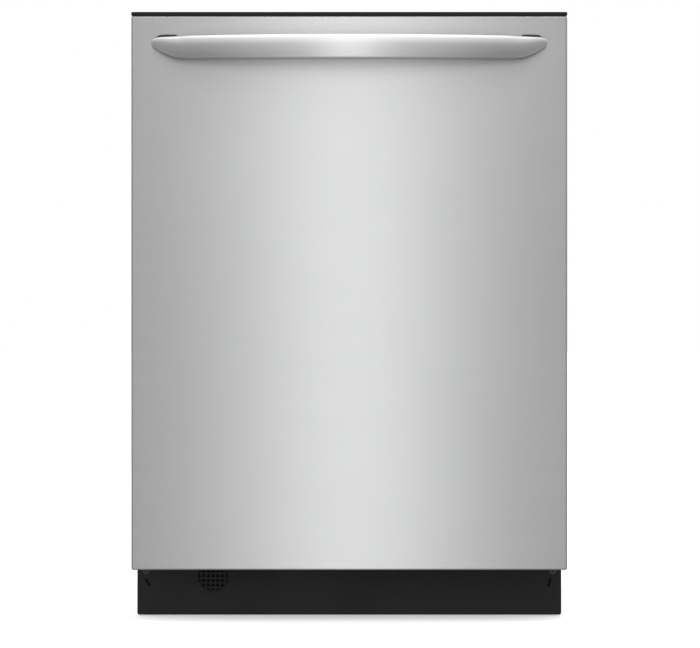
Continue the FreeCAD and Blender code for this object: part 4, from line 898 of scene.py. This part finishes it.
# ------------------------------------------------------------------ sound blanket
def blanket():
    """One felt sheet wrapped over the tub, 7 mm thick, with soft corners and slightly wavy edges."""
    inner = [(-0.2800, 0.240), (-0.2800, 0.8290), (0.2800, 0.8290), (0.2800, 0.240)]
    r = 0.016
    line = []
    fine = rounded([(x, 0, z) for x, z in inner], r, n=8)
    for i in range(len(fine) - 1):
        a, b2 = fine[i], fine[i + 1]
        k = max(1, int((b2 - a).length / 0.012))
        for j in range(k):
            line.append(a.lerp(b2, j / k))
    line.append(fine[-1])
    rows = 42
    y0, y1 = -0.195, 0.285
    verts_in, verts_out = [], []
    L = len(line)
    for i, p in enumerate(line):
        a = line[max(0, i - 1)]
        c = line[min(L - 1, i + 1)]
        t = (c - a).normalized()
        nrm = V((-t.z, 0, t.x))
        for j in range(rows + 1):
            q = j / rows
            y = y0 + (y1 - y0) * q
            edge = min(q, 1 - q)
            endd = min(i, L - 1 - i)
            thin = min(1.0, 0.55 + edge * 9) * min(1.0, 0.55 + endd * 0.16)
            wave = 0.5 + 0.5 * math.sin(i * 0.21 + 1.3 * math.sin(j * 0.33)) * math.sin(j * 0.29 + 0.7)
            th = 0.0046 + 0.0020 * wave
            dimple = 0.0
            for (pi, pj) in PINS:
                dd = math.hypot((i - pi * L) * 0.012, (q - pj) * (y1 - y0))
                dimple = max(dimple, math.exp(-(dd / 0.020) ** 2))
            th = th * thin * (1 - 0.72 * dimple)
            wob = 0.0016 * math.sin(i * 0.37 + 2.0) * (1 if q > 0.98 else (1 if q < 0.02 else 0))
            verts_in.append(p + V((0, y - 0 + wob, 0)) * 1.0)
            verts_out.append(p + nrm * (-1) * th + V((0, y + wob, 0)))
    b = Builder()
    n = rows + 1
    m = len(verts_in)
    faces = []
    for i in range(L - 1):
        for j in range(rows):
            a, c, d, e = i * n + j, i * n + j + 1, (i + 1) * n + j + 1, (i + 1) * n + j
            faces.append((a, c, d, e))
            faces.append((m + e, m + d, m + c, m + a))
    for i in range(L - 1):
        faces.append((i * n, (i + 1) * n, m + (i + 1) * n, m + i * n))
        a, e = i * n + rows, (i + 1) * n + rows
        faces.append((e, a, m + a, m + e))
    for j in range(rows):
        faces.append((j + 1, j, m + j, m + j + 1))
        a = (L - 1) * n + j
        faces.append((a, a + 1, m + a + 1, m + a))
    b.add(verts_in + verts_out, faces)
    return b, line


PINS = [(u, w) for u in (0.07, 0.19, 0.30, 0.43, 0.57, 0.70, 0.81, 0.93) for w in (0.12, 0.5, 0.88)]
bb, line = blanket()
felt_ob = bb.make("felt_blanket", "cabinet", "felt", ("sound_blanket",), sharp=70, merge=False)

# push-on caps that pin the felt to the tub
b = Builder()
L = len(line)
for u, w in PINS:
    i = int(u * L)
    p = line[i]
    t = (line[min(L - 1, i + 1)] - line[max(0, i - 1)]).normalized()
    y = -0.195 + 0.480 * w
    if abs(t.z) > 0.7:
        sx = 1 if p.x > 0 else -1
        b.lathe([(0.0, 0.0026), (0.004, 0.0024), (0.0078, 0.0014), (0.0082, 0.0004), (0.0060, 0.0)] if sx > 0 else
                [(0.0, -0.0026), (0.004, -0.0024), (0.0078, -0.0014), (0.0082, -0.0004), (0.0060, 0.0)],
                "X", (p.x + sx * 0.0014, y, p.z), 24)
    else:
        b.lathe([(0.0, 0.0026), (0.004, 0.0024), (0.0078, 0.0014), (0.0082, 0.0004), (0.0060, 0.0)], "Z", (p.x, y, p.z + 0.0014), 24)
b.make("felt_pins", "cabinet", "panel_black", merge=False)


# thin felt sheet inside the toe kick channel, coloured near-black as painted shade so that its vent holes and slots
# read as dark shade
b = Builder()
cols = [-0.2965 + 0.593 * i / 62 for i in range(63)]
nz = 10
front_side, back_side = [], []
for i, x in enumerate(cols):
    zt = 0.052 if abs(x) > 0.2815 else 0.0985
    for j in range(nz + 1):
        z = 0.0075 + (zt - 0.0075) * j / nz
        q = 0.0007 * math.sin(i * 0.55) * math.cos(j * 0.7)
        front_side.append((x, -0.1872 + abs(q), z))
        back_side.append((x, -0.1842 + q, z))
faces = []
m2 = len(front_side)
w2 = nz + 1
nx = len(cols) - 1
for i in range(nx):
    for j in range(nz):
        a2, c2, d2, e2 = i * w2 + j, (i + 1) * w2 + j, (i + 1) * w2 + j + 1, i * w2 + j + 1
        faces.append((a2, c2, d2, e2))
        faces.append((m2 + e2, m2 + d2, m2 + c2, m2 + a2))
for i in range(nx):
    faces.append((i * w2, m2 + i * w2, m2 + (i + 1) * w2, (i + 1) * w2))
    faces.append((i * w2 + nz, (i + 1) * w2 + nz, m2 + (i + 1) * w2 + nz, m2 + i * w2 + nz))
for j in range(nz):
    faces.append((j, j + 1, m2 + j + 1, m2 + j))
    k2 = nx * w2
    faces.append((k2 + j + 1, k2 + j, m2 + k2 + j, m2 + k2 + j + 1))
b.add(front_side + back_side, faces)
kick_shade_felt = b.make("kick_shade_felt", "cabinet", "felt", sharp=70, merge=False)
kick_shade_felt.data.materials[0] = MATS["felt_shade_black"]

# raised rim round the vent holes
b = Builder()
b.lathe([(0.0207, 0.0004), (0.0212, -0.0003), (0.0219, -0.0005), (0.0226, -0.0003), (0.0231, 0.0004)], "Y",
        (-0.1938, -0.1911, 0.0574), 72, closed=True)
vent_rim = b.make("vent_rim", "cabinet", "toe_paint", sharp=50, merge=False)


# ------------------------------------------------------------------ door seal
def seal():
    b = Builder()
    path = rounded([(-0.2855, 0, 0.150), (-0.2855, 0, 0.8315), (0.2855, 0, 0.8315), (0.2855, 0, 0.150)], 0.012, n=8)
    line2 = []
    for i in range(len(path) - 1):
        k = max(1, int((path[i + 1] - path[i]).length / 0.06))
        for j in range(k):
            line2.append(path[i].lerp(path[i + 1], j / k))
    line2.append(path[-1])
    prof = [(-0.0055, 0.0), (-0.0055, -0.0012), (-0.0040, -0.0018), (-0.0046, -0.0034), (-0.0036, -0.0049), (-0.0014, -0.0054),
            (0.0008, -0.0050), (0.0022, -0.0036), (0.0018, -0.0020), (0.0036, -0.0026), (0.0052, -0.0046), (0.0058, -0.0044),
            (0.0054, -0.0014), (0.0052, 0.0)]
    rings = []
    for i, p in enumerate(line2):
        a, c = line2[max(0, i - 1)], line2[min(len(line2) - 1, i + 1)]
        t = (c - a).normalized()
        out = V((-t.z, 0, t.x))
        rings.append([p + out * u * -0.9 + V((0, -0.212 + w, 0)) for u, w in prof])
    b.loft(rings)
    b.make("door_seal", "cabinet", "seal", ("tub_gasket",), sharp=40)


seal()

# ------------------------------------------------------------------ tub: stamped beads on the rear wall
b = Builder()


def bead(b, pts, w, high, y):
    """A raised pressed bead on the rear wall."""
    line = rounded(pts, 0.012, n=5)
    rings = []
    for i, p in enumerate(line):
        a, c = line[max(0, i - 1)], line[min(len(line) - 1, i + 1)]
        t = (c - a).normalized()
        s = V((-t.z, 0, t.x))
        end = min(1.0, 0.15 + min(i, len(line) - 1 - i) * 0.85)
        rings.append([V((p.x, 0, p.z)) + s * u * w * (0.5 + 0.5 * end) + V((0, y + h * high * end, 0)) for u, h in
                      ((-1, -0.3), (-0.8, 0.25), (-0.45, 0.8), (0, 1), (0.45, 0.8), (0.8, 0.25), (1, -0.3))])
    b.loft(rings)


for x in (-0.225, -0.150, -0.075, 0.075, 0.150, 0.225):
    bead(b, [(x, 0, 0.215), (x, 0, 0.216), (x, 0, 0.222), (x, 0, 0.5), (x, 0, 0.768), (x, 0, 0.774), (x, 0, 0.775)], 0.014, 0.0042, 0.2928)
for z in (0.80,):
    bead(b, [(-0.23, 0, z), (-0.229, 0, z), (-0.222, 0, z), (0, 0, z), (0.222, 0, z), (0.229, 0, z), (0.23, 0, z)], 0.008, 0.0035, 0.2928)
b.make("tub_beads", "cabinet", "tub_steel", sharp=50)

# ------------------------------------------------------------------ pump, motor and hose details
b = Builder()
for k in range(18):
    a = 2 * math.pi * k / 18
    d, t = V((0, math.cos(a), math.sin(a))), V((0, -math.sin(a), math.cos(a)))
    if d.z > 0.72:
        continue
    c = V((0.178, 0.040, 0.084))
    rings = []
    for r, half in ((0.0440, 0.0016), (0.0478, 0.0012), (0.0484, 0.0006)):
        rings.append([c + d * r + t * u * half + V((w * 0.034, 0, 0)) for u, w in ((-1, -1), (1, -1), (1, 1), (-1, 1))])
    b.loft(rings)
b.lathe([(0.0445, 0.0), (0.0465, 0.001), (0.0465, 0.006), (0.0445, 0.007)], "X", (0.130, 0.040, 0.084), 56)
b.lathe([(0.0, 0.002), (0.030, 0.002), (0.040, 0.0008), (0.0440, -0.001)], "X", (0.2252, 0.040, 0.084), 56)
b.make("motor_fins", "cabinet", "motor_metal", merge=False)

b = Builder()
for k in range(6):
    a = 2 * math.pi * (k + 0.5) / 6
    phillips(b, (0.1022, 0.040 + 0.0470 * math.cos(a), 0.084 + 0.0470 * math.sin(a)), "X", 0.0026, 0.0016, 0.001, 0.003, out=-1)
for k in range(4):
    a = 2 * math.pi * (k + 0.5) / 4
    phillips(b, (-0.1750, 0.040 + 0.018 * math.cos(a), 0.084 + 0.018 * math.sin(a)), "X", 0.0024, 0.0014, 0.001, 0.003, out=-1)
b.make("pump_screws", "cabinet", "screw_steel", merge=False)


def band_clamp(b, centre, axis, r, width=0.008):
    """Worm drive clamp: a thin band with a housing and a screw."""
    c = V(centre)
    ax = {"X": V((1, 0, 0)), "Y": V((0, 1, 0)), "Z": V((0, 0, 1))}[axis]
    b.lathe([(r, -width / 2), (r + 0.0007, -width / 2 + 0.0001), (r + 0.0007, width / 2 - 0.0001), (r, width / 2)], axis, c, 40, closed=True)
    side = V((0, 0, -1)) if axis != "Z" else V((0, 1, 0))
    cross = ax.cross(side)
    h = c + side * (r + 0.0028)
    lo = h - ax * width * 0.42 - cross * 0.006 - side * 0.0026
    hi = h + ax * width * 0.42 + cross * 0.006 + side * 0.0026
    b.box([min(a2, b2) for a2, b2 in zip(lo, hi)], [max(a2, b2) for a2, b2 in zip(lo, hi)], 0.0008)
    b.tube([h + cross * 0.005, h + cross * 0.0095], 0.0026, 6)


b = Builder()
band_clamp(b, (0.112, 0.098, 0.118), "Y", 0.0091)
band_clamp(b, (0.0, 0.281, 0.136), "Z", 0.0091, 0.006)
band_clamp(b, (-0.256, 0.120, 0.065), "X", 0.0046, 0.006)
band_clamp(b, (-0.288, 0.120, 0.189), "Z", 0.0046, 0.006)
b.make("hose_clamps", "cabinet", "screw_steel", merge=False)

# water valve: solenoid and lugs
b = Builder()
b.lathe([(0.0110, 0), (0.0122, 0.0006), (0.0126, 0.002), (0.0126, 0.016), (0.0120, 0.0175), (0.0070, 0.0185), (0.0, 0.0187)], "Z",
        (-0.231, 0.120, 0.0850), 40)
for dx in (-0.004, 0.004):
    b.box((-0.231 + dx - 0.0003, 0.1165, 0.1030), (-0.231 + dx + 0.0003, 0.1235, 0.1090), 0.0001, 1)
hexa = [(-0.231 + 0.0152 * math.cos(math.radians(60 * k)), 0.065 + 0.0152 * math.sin(math.radians(60 * k))) for k in range(6)]
b.make("valve_solenoid", "cabinet", "valve_plastic", merge=False)

# ------------------------------------------------------------------ keys and indicator lights
for nm, body, x in (("button_power", "key_power", -0.150), ("button_cycle", "key_cycle", -0.110),
                    ("button_option", "key_option", 0.110), ("button_start", "key_start", 0.150)):
    b = Builder()
    rows = []
    prof = [(0.0, 0.838), (0.0, 0.8462), (0.0, 0.8486), (-0.00035, 0.84935), (-0.0010, 0.8497), (-0.0022, 0.84960), (-0.0038, 0.84935)]
    base = rounded([(x - 0.008, -0.2515, 0), (x + 0.008, -0.2515, 0), (x + 0.008, -0.2425, 0), (x - 0.008, -0.2425, 0)], 0.0018, closed=True, n=4)
    c = V((x, -0.247, 0))
    for inset, z in prof:
        row = []
        for p in base:
            d = p - c
            k1 = (0.008 + inset) / 0.008
            k2 = (0.0045 + inset) / 0.0045
            row.append(V((c.x + d.x * k1, c.y + d.y * k2, z)))
        rows.append(row)
    b.loft(rows)
    b.box((x - 0.0098, -0.2528, 0.8436), (x + 0.0098, -0.2412, 0.8456), 0.0005)
    b.make(nm + "_cap", body, "key_plastic", (nm,), sharp=50)

m, nt, bs = start_mat("led")
bs.inputs["Base Color"].default_value = (0.5, 0.5, 0.48, 1)
bs.inputs["Roughness"].default_value = 0.25
bs.inputs["Coat Weight"].default_value = 0.6
wv = noise_of(nt, coords(nt), 200.0, 2.0)
nt.links.new(ramp(nt, wv, (0.42, 0.44, 0.42), (0.6, 0.6, 0.56), 0.3, 0.7), bs.inputs["Base Color"])
b = Builder()
for x in (-0.150, -0.110, 0.110, 0.150):
    b.lathe([(0.0, 0.0006), (0.0006, 0.0005), (0.0010, 0.0001), (0.0010, -0.0004)], "Z", (x, -0.2565, 0.8498), 16)
b.make("key_lamps", "door", "lens", merge=False).data.materials[0] = MATS["led"]

# ------------------------------------------------------------------ dispenser
b = Builder()
x0, x1, z0, z1 = -0.084, -0.018, 0.399, 0.4865
yb = -0.190 + 0.0033
outer_pts = rounded([(x0, 0, z0), (x1, 0, z0), (x1, 0, z1), (x0, 0, z1)], 0.005, closed=True, n=5)
cx, cz = (x0 + x1) / 2, (z0 + z1) / 2
rows = []
for inset, y in ((0.0, 0.0), (0.0, 0.0018), (0.0006, 0.0026), (0.0016, 0.0030), (0.009, 0.0030), (0.0105, 0.0024), (0.030, 0.0024)):
    rows.append([V((cx + (p.x - cx) * (1 - inset / 0.033), yb + y, cz + (p.z - cz) * (1 - inset / 0.0437))) for p in outer_pts])
b.loft(rows)
for i in range(7):
    zz = 0.470 + i * 0.0011
    b.box((-0.074, yb + 0.0026, zz), (-0.030, yb + 0.0046 - abs(i - 3) * 0.0003, zz + 0.0006), 0.0002, 1)
b.make("detergent_lid", "dispenser_lid_body", "lid_plastic", ("dispenser_lid",), sharp=40, merge=False)

b = Builder()
c = V((0.062, -0.190, 0.447))
n = 60
rows = []
for r, y, k in ((0.0130, -0.0100, 0), (0.0130, 0.0030, 0), (0.0168, 0.0034, 0), (0.0170, 0.0050, 1), (0.0166, 0.0064, 1), (0.0150, 0.0070, 0),
                (0.0120, 0.0070, 0), (0.0114, 0.0064, 0), (0.0001, 0.0064, 0)):
    row = []
    for i in range(n):
        a = 2 * math.pi * i / n
        rr = r - (0.0006 if (k and i % 4 < 2) else 0.0)
        row.append(c + V((rr * math.cos(a), y, rr * math.sin(a))))
    rows.append(row)
b.loft(rows)
b.box((0.0495, -0.1842, 0.4452), (0.0745, -0.1802, 0.4488), 0.0010)
b.prism([(0.0700, 0.4495), (0.0738, 0.4495), (0.0719, 0.4525)], -0.1840, -0.1826, "Y")
b.make("rinse_cap", "rinse_cap_body", "cap_plastic", ("rinse_aid_cap",), sharp=35, merge=False)

# ------------------------------------------------------------------ stage, light, camera
floor_mat, nt, bs = start_mat("floor_white")
bs.inputs["Base Color"].default_value = (0.62, 0.62, 0.62, 1)
bs.inputs["Roughness"].default_value = 0.9
bs.inputs["Emission Color"].default_value = (1, 1, 1, 1)
bs.inputs["Emission Strength"].default_value = 0.46
me = bpy.data.meshes.new("floor")
me.from_pydata([(-40, -40, 0), (40, -40, 0), (40, 40, 0), (-40, 40, 0)], [], [(0, 1, 2, 3)])
floor = bpy.data.objects.new("floor", me)
me.materials.append(floor_mat)
bpy.context.scene.collection.objects.link(floor)
floor.visible_glossy = False
floor.visible_shadow = False
floor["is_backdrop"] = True

SKY = (0.14, 0.15, 0.14, 0.75, 1.25)      # straight down, low, level, high, overhead
BAND, BAND_W = 0.13, 0.16
WING, WING_AT, WING_W = 0.46, 0.26, 0.10
GLOW, GLOW_W = 0.68, 0.34                 # pale floor seen in the metal, in front of the door
ROUND = 0.46                              # pale walls at the sides and behind
world = bpy.data.worlds.new("studio")
bpy.context.scene.world = world
world.use_nodes = True
wn = world.node_tree
bg = next(n for n in wn.nodes if n.type == "BACKGROUND")
out = next(n for n in wn.nodes if n.type == "OUTPUT_WORLD")


def calc(op, a, b2=None, c=None):
    n = wn.nodes.new("ShaderNodeMath")
    n.operation = op
    for k, x in enumerate((a, b2, c)):
        if x is None:
            continue
        if isinstance(x, (int, float)):
            n.inputs[k].default_value = x
        else:
            wn.links.new(x, n.inputs[k])
    return n.outputs[0]


tcw = wn.nodes.new("ShaderNodeTexCoord")
sep = wn.nodes.new("ShaderNodeSeparateXYZ")
wn.links.new(tcw.outputs["Generated"], sep.inputs["Vector"])
sx_, sy_, sz_ = sep.outputs["X"], sep.outputs["Y"], sep.outputs["Z"]
cr = wn.nodes.new("ShaderNodeValToRGB")
cr.color_ramp.interpolation = "EASE"
stops = [(0.0, SKY[0]), (0.30, SKY[1]), (0.47, SKY[2]), (0.53, SKY[2]), (0.70, SKY[3]), (1.0, SKY[4])]
while len(cr.color_ramp.elements) < len(stops):
    cr.color_ramp.elements.new(0.5)
for e, (p, v) in zip(cr.color_ramp.elements, stops):
    e.position = p
    e.color = (v, v, v, 1)
wn.links.new(calc("MULTIPLY_ADD", sz_, 0.5, 0.5), cr.inputs["Fac"])
horiz = calc("ADD", calc("ADD", calc("MULTIPLY", sx_, sx_), calc("MULTIPLY", sy_, sy_)), 0.0001)
side2 = calc("DIVIDE", calc("MULTIPLY", sx_, sx_), horiz)
bandv = calc("EXPONENT", calc("MULTIPLY", side2, -1.0 / (2 * BAND_W ** 2)))
front = calc("LESS_THAN", sy_, 0.0)
bandv = calc("MULTIPLY", bandv, front)
low = calc("MAXIMUM", calc("MULTIPLY", sz_, -1.0), 0.0)
fall = calc("MULTIPLY", bandv, BAND)
glow = calc("MULTIPLY", calc("EXPONENT", calc("MULTIPLY", side2, -1.0 / (2 * GLOW_W ** 2))), front)
fall = calc("ADD", fall, calc("MULTIPLY", glow, calc("MULTIPLY", calc("MINIMUM", low, 0.75), GLOW)))
off = calc("SUBTRACT", calc("SQRT", side2), WING_AT)
wing = calc("EXPONENT", calc("MULTIPLY", calc("MULTIPLY", off, off), -1.0 / (2 * WING_W ** 2)))
wing = calc("MULTIPLY", calc("MULTIPLY", wing, front), calc("MAXIMUM", calc("MULTIPLY_ADD", sz_, 1.1, 1.0), 0.0))
sstep = wn.nodes.new("ShaderNodeMapRange")
sstep.interpolation_type = "SMOOTHSTEP"
sstep.inputs["From Min"].default_value = 0.50
sstep.inputs["From Max"].default_value = 0.74
wn.links.new(calc("SQRT", side2), sstep.inputs["Value"])
walls = calc("MAXIMUM", sstep.outputs["Result"], calc("SUBTRACT", 1.0, front))
walls = calc("MULTIPLY", walls, calc("MAXIMUM", calc("MULTIPLY_ADD", calc("ABSOLUTE", sz_), -0.8, 1.0), 0.0))
tot = calc("ADD", calc("ADD", cr.outputs["Color"], fall), calc("MULTIPLY", wing, WING))
tot = calc("ADD", tot, calc("MULTIPLY", walls, ROUND))
wn.links.new(tot, bg.inputs["Strength"])
bg.inputs["Color"].default_value = (1, 1, 1, 1)
bgw = wn.nodes.new("ShaderNodeBackground")
bgw.inputs["Color"].default_value = (1, 1, 1, 1)
bgw.inputs["Strength"].default_value = 1.0
lp = wn.nodes.new("ShaderNodeLightPath")
mix = wn.nodes.new("ShaderNodeMixShader")
wn.links.new(lp.outputs["Is Camera Ray"], mix.inputs["Fac"])
wn.links.new(bg.outputs["Background"], mix.inputs[1])
wn.links.new(bgw.outputs["Background"], mix.inputs[2])
wn.links.new(mix.outputs["Shader"], out.inputs["Surface"])


def area(name, loc, target, sx, sy, power):
    d = bpy.data.lights.new(name, "AREA")
    d.shape = "RECTANGLE"
    d.size, d.size_y = sx, sy
    d.energy = power
    o = bpy.data.objects.new(name, d)
    o.location = loc
    o.rotation_mode = "QUATERNION"
    o.rotation_quaternion = (V(target) - V(loc)).to_track_quat("-Z", "Y")
    bpy.context.scene.collection.objects.link(o)
    return o


area("strip", (0.0, -5.2, 0.9), (0, 0, 0.9), 0.3, 7.0, 32)
area("top", (0.0, -1.3, 3.0), (0, -0.2, 0.3), 2.4, 1.4, 14)
area("back_fill", (0.6, 3.6, 2.2), (0, 0, 0.5), 2.5, 2.0, 30)

cam_d = bpy.data.cameras.new("camera")
cam = bpy.data.objects.new("camera", cam_d)
bpy.context.scene.collection.objects.link(cam)
cam_d.sensor_width = 36.0
cam_d.lens = 36.0 * 4.15 / 0.97573
cam.location = (0.001, -0.276 - 4.15, 0.415)
cam.rotation_euler = (math.radians(90), 0, 0)
cam_d.clip_end = 200
bpy.context.scene.camera = cam
bpy.context.scene.view_settings.view_transform = "Standard"

lo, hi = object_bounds()
